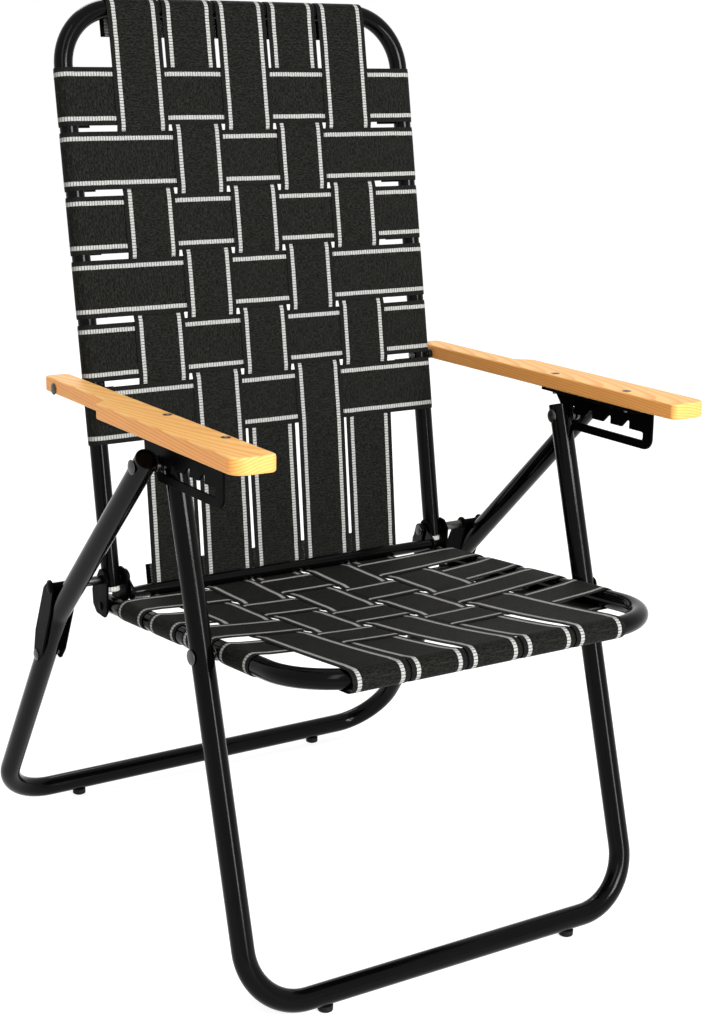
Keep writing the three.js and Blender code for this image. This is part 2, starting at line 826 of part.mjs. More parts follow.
function backCrossWeb(index) {
  const down = backCrossPlaces[index];
  const at = (x, off) => (width) => new THREE.Vector3(x, off, backTopLength - down + width);
  const onSurface = (x, lift) => (width) => (
    new THREE.Vector3(x, backSurface(x, down - width) - lift, backTopLength - down + width)
  );
  const wrap = (sign) => wrapShares.map((share) => {
    const angle = (share - 0.5) * Math.PI;
    const out = backWrapRadius * Math.cos(angle);
    return at(sign * (rackHalfWidth + out), -backWrapRadius * Math.sin(angle));
  });
  const tail = (sign) => at(sign * (rackHalfWidth - webTail), backWrapRadius);
  const woven = weaveStations(backLongPlaces, index % 2 === 1)
    .map((mark) => onSurface(mark.along, mark.lift));
  return ribbon(
    [tail(-1), ...wrap(-1), ...woven, ...wrap(1).reverse(), tail(1)],
    new THREE.Vector3(0, 0, 1),
  );
}

for (let i = 0; i < backCrossCount; i += 1) {
  addMesh(backPlane, `back_web_cross_${i + 1}`, backCrossWeb(i), webbingCloth);
}

// The lower bar's place in the back's plane
const backBarOff = backBarBehindHinge * Math.cos(backLean) + backBarDrop * Math.sin(backLean);
const backBarUp = backBarBehindHinge * Math.sin(backLean) - backBarDrop * Math.cos(backLean);

function backLongWeb(index) {
  const centre = backLongPlaces[index];
  const at = (up, off) => (width) => new THREE.Vector3(centre + width, off, up);
  const onSurface = (down, lift) => (width) => new THREE.Vector3(
    centre + width, backSurface(centre + width, down) - lift, backTopLength - down,
  );
  const topWrap = wrapShares.map((share) => {
    const angle = share * Math.PI;
    return at(backTopLength + backWrapRadius * Math.sin(angle), backWrapRadius * Math.cos(angle));
  });
  const topTail = at(backTopLength - webTail, backWrapRadius);
  const lowWrap = wrapShares.map((share) => {
    const angle = Math.PI + share * Math.PI;
    return at(
      backBarUp + barWrapRadius * Math.sin(angle), backBarOff + barWrapRadius * Math.cos(angle),
    );
  });
  const lowTail = at(backBarUp + webTail, backBarOff + barWrapRadius);
  const woven = weaveStations(backCrossPlaces, index % 2 === 0)
    .map((mark) => onSurface(mark.along, mark.lift));
  return ribbon([topTail, ...topWrap, ...woven, ...lowWrap, lowTail], new THREE.Vector3(1, 0, 0));
}

for (let i = 0; i < backLongCount; i += 1) {
  addMesh(backPlane, `back_web_long_${i + 1}`, backLongWeb(i), webbingCloth);
}

// Arm bolts, through the back tubes, and the spacers on them

const armPivotY = armPivotHeight * Math.sin(backLean);
const armPivotZ = armPivotHeight * Math.cos(backLean);
const arms = bodyGroup(back, 'arms', armPivotY, armPivotZ);

for (const { label, sign } of sides) {
  const innerFace = rackHalfWidth - rackRadius - fit;
  const outerFace = armNarrowX + fit;
  const bolt = turnedAlongX([
    [sign * (innerFace - boltHeadHeight), boltHeadRadius * headCrownShare],
    [sign * innerFace, boltHeadRadius],
    [sign * innerFace, armBoltRadius],
    [sign * outerFace, armBoltRadius],
    [sign * outerFace, boltHeadRadius],
    [sign * (outerFace + boltHeadHeight), boltHeadRadius * headCrownShare],
  ], 0, 0);
  addMesh(arms, `arm_bolt_${label}`, bolt, zinc);

  const spacerStart = sign * (rackHalfWidth + backWrapRadius + webThickness / 2 + fit);
  const spacerEnd = sign * (armInnerX - fit);
  const spacer = cutAway(
    rodAlongX(spacerRadius, spacerStart, spacerEnd, 0, 0),
    [rodAlongX(armBoltRadius + fit, spacerStart - sign * cutOverrun, spacerEnd + sign * cutOverrun, 0, 0)],
  );
  addMesh(arms, `arm_spacer_${label}`, spacer, blackPlastic);
}

// Armrests: in their own plane, Y is minus the distance ahead of the arm bolt

const armPlane = tiltedGroup(arms, -armRise);

function roundedOutline(corners) {
  const shape = new THREE.Shape();
  corners.forEach(({ at, radius = 0 }, index) => {
    const before = corners[(index + corners.length - 1) % corners.length].at;
    const after = corners[(index + 1) % corners.length].at;
    const corner = new THREE.Vector2(...at);
    const enter = new THREE.Vector2(...before).sub(corner).setLength(radius).add(corner);
    const leave = new THREE.Vector2(...after).sub(corner).setLength(radius).add(corner);
    if (index === 0) shape.moveTo(enter.x, enter.y);
    else shape.lineTo(enter.x, enter.y);
    if (radius > 0) shape.quadraticCurveTo(corner.x, corner.y, leave.x, leave.y);
  });
  shape.closePath();
  return shape;
}

function armrest(sign) {
  const inset = armRounding;
  const outline = roundedOutline([
    { at: [sign * (armInnerX + inset), armBehind - inset], radius: armRearRadius },
    { at: [sign * (armInnerX + inset), -armAhead + inset], radius: armFrontInnerRadius },
    { at: [sign * (armOuterX - inset), -armAhead + inset], radius: armFrontOuterRadius },
    { at: [sign * (armOuterX - inset), -armShoulder - armShoulderRun], radius: armRearRadius },
    { at: [sign * (armNarrowX - inset), -armShoulder], radius: armRearRadius },
    { at: [sign * (armNarrowX - inset), armBehind - inset], radius: armRearRadius },
  ]);
  const board = new THREE.ExtrudeGeometry(outline, {
    depth: armThickness - 2 * armRounding,
    bevelEnabled: true,
    bevelThickness: armRounding,
    bevelSize: armRounding,
    bevelSegments: 2,
    curveSegments: 3,
  });
  board.translate(0, 0, armBottom + armRounding);
  const boltHole = rodAlongX(
    armBoltRadius + fit, sign * (armInnerX - cutOverrun), sign * (armNarrowX + cutOverrun), 0, 0,
  );
  const screwHoles = armScrewAhead.map((ahead) => {
    const hole = new THREE.CylinderGeometry(
      screwRadius + fit, screwRadius + fit, armThickness + 2 * cutOverrun, barSides,
    );
    hole.rotateX(Math.PI / 2);
    hole.translate(sign * armScrewX, -ahead, armCentreRise);
    return hole;
  });
  return cutAway(board, [boltHole, ...screwHoles]);
}

// Ladder plates: an angle section, its flange under the arm and its web slotted and notched
const legPivotAhead = Math.hypot(armPivotY + hingeY - legPivotY, armPivotZ + hingeZ - legPivotZ);
const legPivotDip = Math.atan2(armPivotZ + hingeZ - legPivotZ, armPivotY + hingeY - legPivotY);
const pinAhead = legPivotAhead * Math.cos(legPivotDip + armRise);

function ladderPlate(sign) {
  const outline = roundedOutline([
    { at: [-ladderRear, ladderTop] },
    { at: [-ladderRear, ladderTop - ladderHeelDepth], radius: ladderHeelRadius },
    { at: [-ladderFootRear, ladderFoot], radius: ladderHeelRadius },
    { at: [-ladderFront, ladderFoot], radius: ladderCornerRadius },
    { at: [-ladderFront, ladderTop] },
  ]);
  const web = plateAcrossX(outline, ladderSheet);
  web.translate(sign * ladderX, 0, 0);

  const slot = new THREE.Shape();
  const slotRear = -(pinAhead - slotRearMargin);
  slot.moveTo(slotRear, slotFloor);
  slot.lineTo(-slotFront, slotFloor);
  slot.lineTo(-slotFront, slotRoof);
  for (let i = notchCount - 1; i >= 0; i -= 1) {
    const frontSide = -(pinAhead + i * notchPitch + legPinRadius + fit);
    slot.lineTo(frontSide, slotRoof);
    slot.lineTo(frontSide, slotRoof + notchDepth);
    slot.lineTo(frontSide + notchCrown, slotRoof + notchDepth);
    slot.lineTo(Math.min(frontSide + notchWidth + notchCrown, slotRear), slotRoof);
  }
  slot.closePath();
  const slotCut = plateAcrossX(slot, ladderSheet + 2 * cutOverrun);
  slotCut.translate(sign * ladderX, 0, 0);

  const flangeWidth = ladderX + ladderSheet / 2 - ladderFlangeInnerX;
  const flange = new THREE.BoxGeometry(flangeWidth, ladderFront - ladderRear, ladderSheet);
  flange.translate(
    sign * (ladderFlangeInnerX + flangeWidth / 2),
    -(ladderFront + ladderRear) / 2,
    ladderTop - ladderSheet / 2,
  );
  const screwHoles = armScrewAhead.map((ahead) => {
    const hole = new THREE.CylinderGeometry(
      screwRadius + fit, screwRadius + fit, ladderSheet + 2 * cutOverrun, barSides,
    );
    hole.rotateX(Math.PI / 2);
    hole.translate(sign * armScrewX, -ahead, ladderTop - ladderSheet / 2);
    return hole;
  });
  return cutAway(joinAll([web, flange]), [slotCut, ...screwHoles]);
}

// Arm screws: a pan head on the arm's top and a tail below the ladder's flange
function armScrew(sign, ahead) {
  const tail = ladderTop - ladderSheet - screwTail;
  const profile = [
    new THREE.Vector2(0, tail),
    new THREE.Vector2(screwRadius, tail),
    new THREE.Vector2(screwRadius, armTop + fit),
    new THREE.Vector2(screwHeadRadius, armTop + fit),
    new THREE.Vector2(screwHeadRadius * headCrownShare, armTop + fit + screwHeadHeight),
    new THREE.Vector2(0, armTop + fit + screwHeadHeight),
  ];
  const geometry = new THREE.LatheGeometry(profile, barSides);
  geometry.rotateX(Math.PI / 2);
  geometry.translate(sign * armScrewX, -ahead, 0);
  return geometry;
}

for (const { label, sign } of sides) {
  addMesh(armPlane, `armrest_${label}`, armrest(sign), pine);
  addMesh(armPlane, `ladder_plate_${label}`, ladderPlate(sign), blackPaint);
  armScrewAhead.forEach((ahead, index) => {
    addMesh(armPlane, `arm_screw_${label}_${index + 1}`, armScrew(sign, ahead), blackPaint);
  });
}

// Rear legs: a hoop with a knee on each side

const rearLegs = bodyGroup(chair, 'rear_legs', legPivotY, legPivotZ);
const kneeOffY = rearKneeY - legPivotY;
const kneeOffZ = rearKneeZ - legPivotZ;
const kneeReach = Math.hypot(kneeOffY, kneeOffZ);
const rearHoop = hoopCorners(
  rearLegHalfWidth,
  [
    { at: [-(kneeOffY / kneeReach) * legTopLength, -(kneeOffZ / kneeReach) * legTopLength] },
    { at: [kneeOffY, kneeOffZ], radius: kneeRadius, steps: kneeSteps },
    { at: [rearFootY - legPivotY, footZ - legPivotZ] },
  ],
  legCornerRadius,
);
addMesh(
  rearLegs,
  'rear_leg_frame',
  cutAway(bentTube(rearHoop, legRadius, legWall), [
    ...sideHoles(legPinRadius + fit, rearLegHalfWidth, legRadius, 0, 0),
    ...sideHoles(
      boltRadius + fit, rearLegHalfWidth, legRadius, linkFootY - legPivotY, linkFootZ - legPivotZ,
    ),
  ]),
  blackPaint,
);
for (const { label, sign } of sides) {
  const stud = studGeometry(sign * rearStudX, rearFootY);
  stud.translate(0, -legPivotY, -legPivotZ);
  addMesh(rearLegs, `rear_foot_stud_${label}`, stud, blackPlastic);

  const headFace = rearLegHalfWidth + legRadius + fit;
  const shoulderFace = rearLegHalfWidth - legRadius - fit;
  const pin = turnedAlongX([
    [sign * (ladderOuterFace + pivotFit), legPinHeadRadius],
    [sign * shoulderFace, legPinHeadRadius],
    [sign * shoulderFace, legPinRadius],
    [sign * headFace, legPinRadius],
    [sign * headFace, legPinHeadRadius],
    [sign * (headFace + boltHeadHeight), legPinHeadRadius * headCrownShare],
  ], 0, 0);
  addMesh(rearLegs, `leg_pin_outer_${label}`, pin, zinc);
}

// Links: a channel that straddles the rear leg, built with its foot pivot at zero

const linkTopY = hingeY - linkFootY;
const linkTopZ = hingeZ - linkFootZ;
const linkLength = Math.hypot(linkTopY, linkTopZ);
const linkTilt = Math.atan2(-linkTopY, linkTopZ);
const links = bodyGroup(rearLegs, 'links', linkFootY - legPivotY, linkFootZ - legPivotZ);
const linkPlane = tiltedGroup(links, linkTilt);

function linkOutline() {
  const shape = new THREE.Shape();
  shape.absarc(0, 0, linkFootRadius, Math.PI * 1.1, Math.PI * 1.9, false);
  shape.lineTo(linkRear, linkShoulder);
  shape.lineTo(linkRear, linkWebEnd);
  shape.absarc(0, linkLength, linkHeadRadius, 0, Math.PI, false);
  shape.lineTo(-linkFront, linkLength - linkShoulder);
  shape.lineTo(-linkFront, linkShoulder / 2);
  shape.closePath();
  return shape;
}

function linkChannel(sign) {
  const pieces = [linkInnerFace + linkSheet / 2, linkOuterFace - linkSheet / 2].map((x) => {
    const flange = plateAcrossX(linkOutline(), linkSheet);
    flange.translate(sign * x, 0, 0);
    return flange;
  });
  const web = new THREE.BoxGeometry(
    linkOuterFace - linkInnerFace - linkSheet, linkSheet, linkWebEnd - linkWebStart,
  );
  web.translate(
    (sign * (linkOuterFace + linkInnerFace)) / 2,
    linkRear - linkSheet / 2,
    (linkWebEnd + linkWebStart) / 2,
  );
  const sleeve = rodAlongX(
    linkSleeveRadius,
    sign * (linkInnerFace + linkSheet / 2),
    sign * (linkOuterFace - linkSheet / 2),
    0,
    linkLength,
    barSides,
  );
  const head = turnedAlongX([
    [sign * (linkOuterFace - linkSheet / 2), linkRivetHeadRadius],
    [sign * (linkOuterFace + linkRivetHeadHeight / 2), linkRivetHeadRadius],
    [sign * (linkOuterFace + linkRivetHeadHeight), linkRivetHeadRadius * headCrownShare],
  ], 0, linkLength, barSides);
  const footHole = rodAlongX(
    boltRadius + fit,
    sign * (linkInnerFace - cutOverrun),
    sign * (linkOuterFace + cutOverrun),
    0,
    0,
  );
  return cutAway(joinAll([...pieces, web, sleeve, head]), [footHole]);
}

for (const { label, sign } of sides) {
  addMesh(linkPlane, `link_${label}`, linkChannel(sign), blackPaint);
}

// Foot rivets of the links go right through the rear legs
const linkRivets = new THREE.Group();
linkRivets.position.set(0, linkFootY - legPivotY, linkFootZ - legPivotZ);
rearLegs.add(linkRivets);
for (const { label, sign } of sides) {
  const rivet = turnedAlongX([
    [sign * (linkInnerFace - fit - linkRivetHeadHeight / 2), linkRivetHeadRadius * headCrownShare],
    [sign * (linkInnerFace - fit), linkRivetHeadRadius],
    [sign * (linkInnerFace - fit), boltRadius],
    [sign * (linkOuterFace + fit), boltRadius],
    [sign * (linkOuterFace + fit), linkRivetHeadRadius],
    [sign * (linkOuterFace + fit + linkRivetHeadHeight), linkRivetHeadRadius * headCrownShare],
  ], 0, 0);
  addMesh(linkRivets, `link_rivet_${label}`, rivet, zinc);
}

// Stand the chair on the floor with its footprint centred on the origin

const bounds = new THREE.Box3().setFromObject(chair, true);
chair.position.set(0, -(bounds.min.y + bounds.max.y) / 2, -bounds.min.z);

export default chair;
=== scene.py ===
# A folding webbed lawn chair: black tube, woven webbing and pine armrests.
# Sizes are in millimetres and become metres as each piece's mesh is written.

import json
import math

import bmesh
import bpy
import numpy as np
from mathutils import Matrix


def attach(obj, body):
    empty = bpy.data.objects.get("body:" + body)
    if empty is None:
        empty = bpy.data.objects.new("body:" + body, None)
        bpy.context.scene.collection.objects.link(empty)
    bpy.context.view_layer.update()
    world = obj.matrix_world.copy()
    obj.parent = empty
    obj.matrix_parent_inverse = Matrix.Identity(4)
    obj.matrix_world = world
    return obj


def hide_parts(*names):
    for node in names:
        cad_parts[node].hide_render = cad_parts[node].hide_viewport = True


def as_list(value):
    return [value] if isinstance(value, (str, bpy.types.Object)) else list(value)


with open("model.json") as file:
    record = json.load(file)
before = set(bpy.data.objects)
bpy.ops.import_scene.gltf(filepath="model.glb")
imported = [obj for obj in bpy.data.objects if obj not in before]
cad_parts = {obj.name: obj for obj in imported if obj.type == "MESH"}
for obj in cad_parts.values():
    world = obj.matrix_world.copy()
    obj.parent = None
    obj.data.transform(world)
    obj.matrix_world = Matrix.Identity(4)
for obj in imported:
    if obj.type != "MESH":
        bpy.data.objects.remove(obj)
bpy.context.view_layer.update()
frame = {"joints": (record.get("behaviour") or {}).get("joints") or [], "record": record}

mm = 0.001
record = frame["record"]
bodyOfNode = {node: body for body, nodes in record["behaviour"]["bodies"].items() for node in nodes}
slotOfNode = {part["node"]: part["material_slot"] for part in record["subparts"]}
pivots = {joint["name"]: np.array(joint["pos_m"]) / mm for joint in frame["joints"]}
sides = {"left": -1, "right": 1}


# Shared sizes

fits = {"gap": 0.3, "pivot": 0.35}
tube = {"legRadius": 11, "rackRadius": 9.5, "wall": 1.3, "sides": 48, "bendSteps": 18, "plugDepth": 2.2,
        "lip": 0.5, "upright": 0.9}
racks = {"halfWidth": 201.5, "seatCorner": 76, "backCorner": 60, "seatLength": 419.7, "backTop": 580.3,
         "backTail": 8, "seatRise": 7.44, "backLean": 11.95, "hingeAhead": 7.7, "hingeRise": 29.2}
legs = {"frontHalfWidth": 223.9, "rearHalfWidth": 256.5, "pivot": (-78, 506), "frontFoot": -240.3,
        "rearFoot": 299.7, "footRise": 18, "knee": (123.1, 298.7), "kneeRadius": 60, "corner": 60, "top": 12}
seatRear = np.array([122.0, 302.3])

edgeSteps, plateSteps, around, fineEdge = 3, 5, 36, 0.3
mergeReach, nearZero = 0.01, 0.001

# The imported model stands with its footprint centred, so everything shifts by this along Y
footShift = pivots["fold"][1] - legs["pivot"][0]
hinge = seatRear + (-racks["hingeAhead"], racks["hingeRise"])
legRun = np.array([legs["frontFoot"], legs["footRise"]]) - legs["pivot"]
frontLegTilt = math.degrees(-math.atan2(-legRun[0], -legRun[1]))
armBolt, seatPivot, linkFoot = (pivots[name][1:] - (footShift, 0)
                                for name in ("arm_fold", "seat_fold", "link_fold"))


# Geometry

# Points (x, y, z) of a tilted plane's own frame: turned about X by tilt degrees, then moved by origin (y, z)
def placed(points, origin=(0, 0), tilt=0):
    points = np.asarray(points, float)
    c, s = math.cos(math.radians(tilt)), math.sin(math.radians(tilt))
    y = points[..., 1] * c - points[..., 2] * s + origin[0]
    z = points[..., 1] * s + points[..., 2] * c + origin[1]
    return np.stack([points[..., 0], y, z], -1)


# Each vector along the last axis divided by its length
def unit(vectors):
    return vectors / np.linalg.norm(vectors, axis=-1, keepdims=True)


# Cosines and sines of count even angles that make a full turn
def fullTurn(count):
    angle = np.linspace(0, 2 * math.pi, count, endpoint=False)
    return np.cos(angle), np.sin(angle)


# Distance run along a polyline up to each of its points
def lengthAlong(line):
    return np.concatenate([[0], np.cumsum(np.linalg.norm(np.diff(line, axis=0), axis=1))])


# A smooth step from 0 to 1: 3 t squared less 2 t cubed
def eased(t):
    return t * t * (3 - 2 * t)


# A new object in the scene
def linked(name, data):
    thing = bpy.data.objects.new(name, data)
    bpy.context.scene.collection.objects.link(thing)
    return thing


# Quads of a grid of rows by cols points; closed joins the last column to the first
def gridFaces(rows, cols, closed=False):
    row = np.arange(rows - 1)[:, None]
    col = np.arange(cols if closed else cols - 1)[None, :]
    a = row * cols + col
    b = row * cols + (col + 1) % cols
    return np.stack([a, b, b + cols, a + cols], -1).reshape(-1, 4)


# A polyline whose corners are arcs: each corner gives way to an arc that touches both its sides
def roundCorners(corners, radii, steps=6, closed=True):
    mostOfSide, nearlyStraight = 0.49, math.radians(89)
    corners = [np.array(c, float) for c in corners]
    radii = [radii] * len(corners) if np.isscalar(radii) else radii
    line = []
    for i, (here, radius) in enumerate(zip(corners, radii)):
        back, ahead = corners[i - 1] - here, corners[(i + 1) % len(corners)] - here
        room = min(np.linalg.norm(back), np.linalg.norm(ahead)) * mostOfSide
        back, ahead = unit(back), unit(ahead)
        half = math.acos(np.clip(back @ ahead, -1, 1)) / 2
        atEnd = not closed and i in (0, len(corners) - 1)
        if atEnd or radius <= 0 or half > nearlyStraight:
            line.append(here[None])
            continue
        radius = min(radius, room * math.tan(half))
        centre = here + unit(back + ahead) * radius / math.sin(half)
        start = here + back * radius / math.tan(half) - centre
        end = here + ahead * radius / math.tan(half) - centre
        turn = math.pi - 2 * half
        t = np.linspace(0, turn, steps + 1)[:, None]
        line.append(centre + (np.sin(turn - t) * start + np.sin(t) * end) / math.sin(turn))
    return np.concatenate(line)


# One mesh from several shells, each (points in millimetres, faces): doubled points merge and faces turn out.
# weigh makes flat faces win over the small rounded edges beside them when normals are smoothed.
def writeMesh(name, parts, sharpAngle=40, weigh=False):
    mesh = bpy.data.meshes.new(name)
    starts = np.cumsum([0] + [points.size // 3 for points, _ in parts])
    faces = [[int(start + index) for index in face]
             for start, (_, shell) in zip(starts, parts) for face in shell]
    points = np.concatenate([points.reshape(-1, 3) for points, _ in parts]) + (0, footShift, 0)
    mesh.from_pydata((points * mm).tolist(), [], faces)
    work = bmesh.new()
    work.from_mesh(mesh)
    bmesh.ops.remove_doubles(work, verts=work.verts, dist=mergeReach * mm)
    bmesh.ops.recalc_face_normals(work, faces=work.faces)
    work.to_mesh(mesh)
    work.free()
    mesh.validate()
    mesh.shade_smooth()
    mesh.set_sharp_from_angle(angle=math.radians(sharpAngle))
    piece = linked(name, mesh)
    if weigh:
        piece.modifiers.new("weigh", "WEIGHTED_NORMAL").keep_sharp = True
    return piece


# A round tube along a path: a circle carried square to it without twist, with a plug sunk in each open end
def sweptTube(path, radius):
    step = unit(np.diff(path, axis=0))
    tangent = unit(np.concatenate([step[:1], step[:-1] + step[1:], step[-1:]]))
    normals = [unit(np.cross(tangent[0], (0, 0, 1) if abs(tangent[0][2]) < tube["upright"] else (1, 0, 0)))]
    for after in tangent[1:]:
        normals.append(unit(normals[-1] - after * (normals[-1] @ after)))
    normal = np.array(normals)
    side = np.cross(tangent, normal)
    inner, lip = 1 - tube["wall"] / radius, tube["lip"] / radius
    shares = np.array([0.0, inner, inner, inner + lip, 1 - lip])
    depths = np.array([tube["plugDepth"], tube["plugDepth"], tube["lip"], 0, 0])
    last, count = len(path) - 1, len(shares)
    rows = np.concatenate([[0] * count, np.arange(len(path)), [last] * count]).astype(int)
    share = np.concatenate([shares, np.ones(len(path)), shares[::-1]])
    offset = np.concatenate([depths, np.zeros(len(path)), -depths[::-1]])
    offset[count], offset[-count - 1] = tube["lip"], -tube["lip"]
    across, upward = fullTurn(tube["sides"])
    ring = normal[rows][:, None] * across[None, :, None] + side[rows][:, None] * upward[None, :, None]
    middle = path[rows] + tangent[rows] * offset[:, None]
    rings = middle[:, None] + ring * (radius * share)[:, None, None]
    return rings, gridFaces(len(rows), len(across), closed=True)


# A hoop: up one side, across and down the other. side lists (y, z) stops from the open end to the cross tube.
def hoopPath(halfWidth, side, cornerRadius, sideRadii=None):
    radii = list(sideRadii or [0] * (len(side) - 1)) + [cornerRadius]
    left = [(-halfWidth, y, z) for y, z in side]
    right = [(halfWidth, y, z) for y, z in reversed(side)]
    return roundCorners(left + right, radii + radii[::-1], tube["bendSteps"], closed=False)


# Rings of points about an axis along X at (y, z), one for each (x, radius) of the line
def carriedRound(line, axisAt, count):
    across, upward = fullTurn(count)
    return np.stack([np.repeat(line[:, :1], count, 1), axisAt[0] + line[:, 1:] * across,
                     axisAt[1] + line[:, 1:] * upward], -1)


# A turned piece along X: a profile of (x, radius) steps carried round the axis at (y, z), corners rounded
def turned(steps, axisAt=(0, 0), rounding=fineEdge, count=around):
    profile = [(steps[0][0], 0), *steps, (steps[-1][0], 0)]
    line = roundCorners(profile, [0, *[rounding] * len(steps), 0], edgeSteps, closed=False)
    return carriedRound(line, axisAt, count), gridFaces(len(line), count, closed=True)


# Steps of a low dome from its rim to its top: the radius falls as a cosine while x rises as a sine
def dome(rimX, topX, radius, endAngle=86, count=7):
    t = np.linspace(0, math.radians(endAngle), count)
    return [(rimX + (topX - rimX) * math.sin(a), radius * math.cos(a)) for a in t]


# A flat plate with rounded edges from an outline and holes: the plane's (a, b) with its thickness about zero
def cutSheet(outline, thickness, edge, *holes):
    curve = bpy.data.curves.new("cutSheet", "CURVE")
    curve.dimensions, curve.fill_mode = "2D", "BOTH"
    curve.extrude = thickness / 2 - edge
    curve.bevel_depth, curve.bevel_resolution, curve.offset = edge, edgeSteps, -edge
    for loop in [outline, *holes]:
        loop = np.asarray(loop, float)
        spline = curve.splines.new("POLY")
        spline.points.add(len(loop) - 1)
        places = np.column_stack([loop, np.zeros(len(loop)), np.ones(len(loop))])
        spline.points.foreach_set("co", places.ravel())
        spline.use_cyclic_u = True
    holder = linked("cutSheet", curve)
    bpy.context.view_layer.update()
    mesh = bpy.data.meshes.new_from_object(holder.evaluated_get(bpy.context.evaluated_depsgraph_get()))
    bpy.data.objects.remove(holder)
    points = np.zeros(len(mesh.vertices) * 3)
    mesh.vertices.foreach_get("co", points)
    faces = [tuple(face.vertices) for face in mesh.polygons]
    bpy.data.meshes.remove(mesh)
    return points.reshape(-1, 3), faces


# A flat plate stood across X: its plane is (y, z) and its thickness lies about x
def acrossX(plate, x):
    points, faces = plate
    return np.column_stack([points[:, 2] + x, points[:, 0], points[:, 1]]), faces


# The same shell laid in a tilted plane
def laidIn(shell, origin, tilt):
    return placed(shell[0], origin, tilt), shell[1]


# The four corners of an upright rectangle, in turn
def rectangle(left, right, low, high):
    return [(left, low), (right, low), (right, high), (left, high)]


# Points of an arc between two angles in degrees
def arcLine(centre, radius, fromAngle, toAngle, steps=16):
    angle = np.radians(np.linspace(fromAngle, toAngle, steps))
    return np.column_stack([centre[0] + radius * np.cos(angle), centre[1] + radius * np.sin(angle)])


# Points of a full circle, the last one left off because it is the first
def circle(radius, centre=(0, 0), count=28):
    return arcLine(centre, radius, 0, 360, count + 1)[:-1]


# A piece that takes a node's place: its body, its finish and its material
def makePiece(node, kind, parts, **how):
    piece = writeMesh(f"{node}_{kind}", parts, **how)
    piece.data.materials.append(ownLook.get(node) or materials[slotOfNode[node]])
    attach(piece, bodyOfNode[node])
    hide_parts(node)
    return piece


# The two pieces of a pair from shells that lie on the right; the left piece is their mirror image
def makePair(name, kind, parts, number="", **how):
    for label, sign in sides.items():
        shells = [(points * (sign, 1, 1), faces) for points, faces in parts]
        makePiece(f"{name}_{label}{number}", kind, shells, **how)


# Materials

# A short way to write shader nodes
class Graph:
    def __init__(self, tree):
        self.tree = tree

    def give(self, socket, value):
        if isinstance(value, bpy.types.NodeSocket):
            self.tree.links.new(value, socket)
        else:
            socket.default_value = value

    def add(self, kind, inputs=None, **settings):
        node = self.tree.nodes.new("ShaderNode" + kind)
        for key, value in settings.items():
            setattr(node, key, value)
        for key, value in (inputs or {}).items():
            self.give(node.inputs[key], value)
        return node

    def math(self, operation, a, b=0.0, c=0.0):
        return self.add("Math", {0: a, 1: b, 2: c}, operation=operation).outputs[0]

    def times(self, a, b):
        return self.math("MULTIPLY", a, b)

    def plus(self, *values):
        total = values[0]
        for value in values[1:]:
            total = self.math("ADD", total, value)
        return total

    def minus(self, a, b):
        return self.math("SUBTRACT", a, b)

    # a wave between 0 and 1 that repeats every pitch
    def wave(self, value, pitch):
        return self.math("MULTIPLY_ADD", self.math("SINE", self.times(value, 2 * math.pi / pitch)), 0.5, 0.5)

    # 0 at or below low, 1 at or above high and smooth between; low above high turns it round
    def band(self, value, low, high):
        rising = low < high
        node = self.add("MapRange", {"Value": value, "From Min": min(low, high), "From Max": max(low, high),
                                     "To Min": 0.0 if rising else 1.0, "To Max": 1.0 if rising else 0.0},
                        interpolation_type="SMOOTHSTEP")
        return node.outputs[0]

    def noise(self, vector, scale, detail=2.0, roughness=0.5):
        return self.add("TexNoise", {"Vector": vector, "Scale": scale, "Detail": detail,
                                     "Roughness": roughness}).outputs[0]

    # two colours mixed by a share; a colour is a socket or its (red, green, blue)
    def mixColour(self, share, a, b, blend="MIX"):
        a, b = ((*c, 1) if isinstance(c, tuple) else c for c in (a, b))
        return self.add("Mix", {0: share, 6: a, 7: b}, data_type="RGBA", blend_type=blend).outputs[2]

    # a shader's surface: its sockets by name, and a bump of the given height, strength and depth in mm
    def finish(self, shader, sockets, height, strength, depth):
        bump = self.add("Bump", {"Height": height, "Strength": strength, "Distance": depth * mm})
        for key, value in {**sockets, "Normal": bump.outputs[0]}.items():
            self.give(shader.inputs[key], value)

    def combine(self, x, y, z=0.0):
        return self.add("CombineXYZ", {0: x, 1: y, 2: z}).outputs[0]


# Fine relief and uneven gloss that paint, plastic and plating share, as one node group
def fineSurfaceGroup():
    group = bpy.data.node_groups.new("fineSurface", "ShaderNodeTree")
    for way, labels in (("INPUT", ("Vector", "Grain Scale", "Smudge Scale", "Low", "High")),
                        ("OUTPUT", ("Roughness", "Height", "Smudge"))):
        for label in labels:
            kind = "NodeSocketVector" if label == "Vector" else "NodeSocketFloat"
            group.interface.new_socket(name=label, in_out=way, socket_type=kind)
    g, given = Graph(group), group.nodes.new("NodeGroupInput").outputs
    grain = g.noise(given["Vector"], given["Grain Scale"], roughness=0.55)
    smudge = g.noise(given["Vector"], given["Smudge Scale"], detail=4.0, roughness=0.6)
    span, share = g.minus(given["High"], given["Low"]), g.band(smudge, low=0.3, high=0.7)
    gloss = g.math("MULTIPLY_ADD", span, share, given["Low"])
    grainShare = 0.08
    gloss = g.plus(gloss, g.times(g.minus(grain, 0.5), grainShare))
    for socket, value in zip(group.nodes.new("NodeGroupOutput").inputs, (gloss, grain, smudge)):
        g.give(socket, value)
    return group


fineSurface = fineSurfaceGroup()


# An empty material: itself, its graph and its shader
def newMaterial(name):
    material = bpy.data.materials.new(name)
    material.use_nodes = True
    return material, Graph(material.node_tree), material.node_tree.nodes["Principled BSDF"]


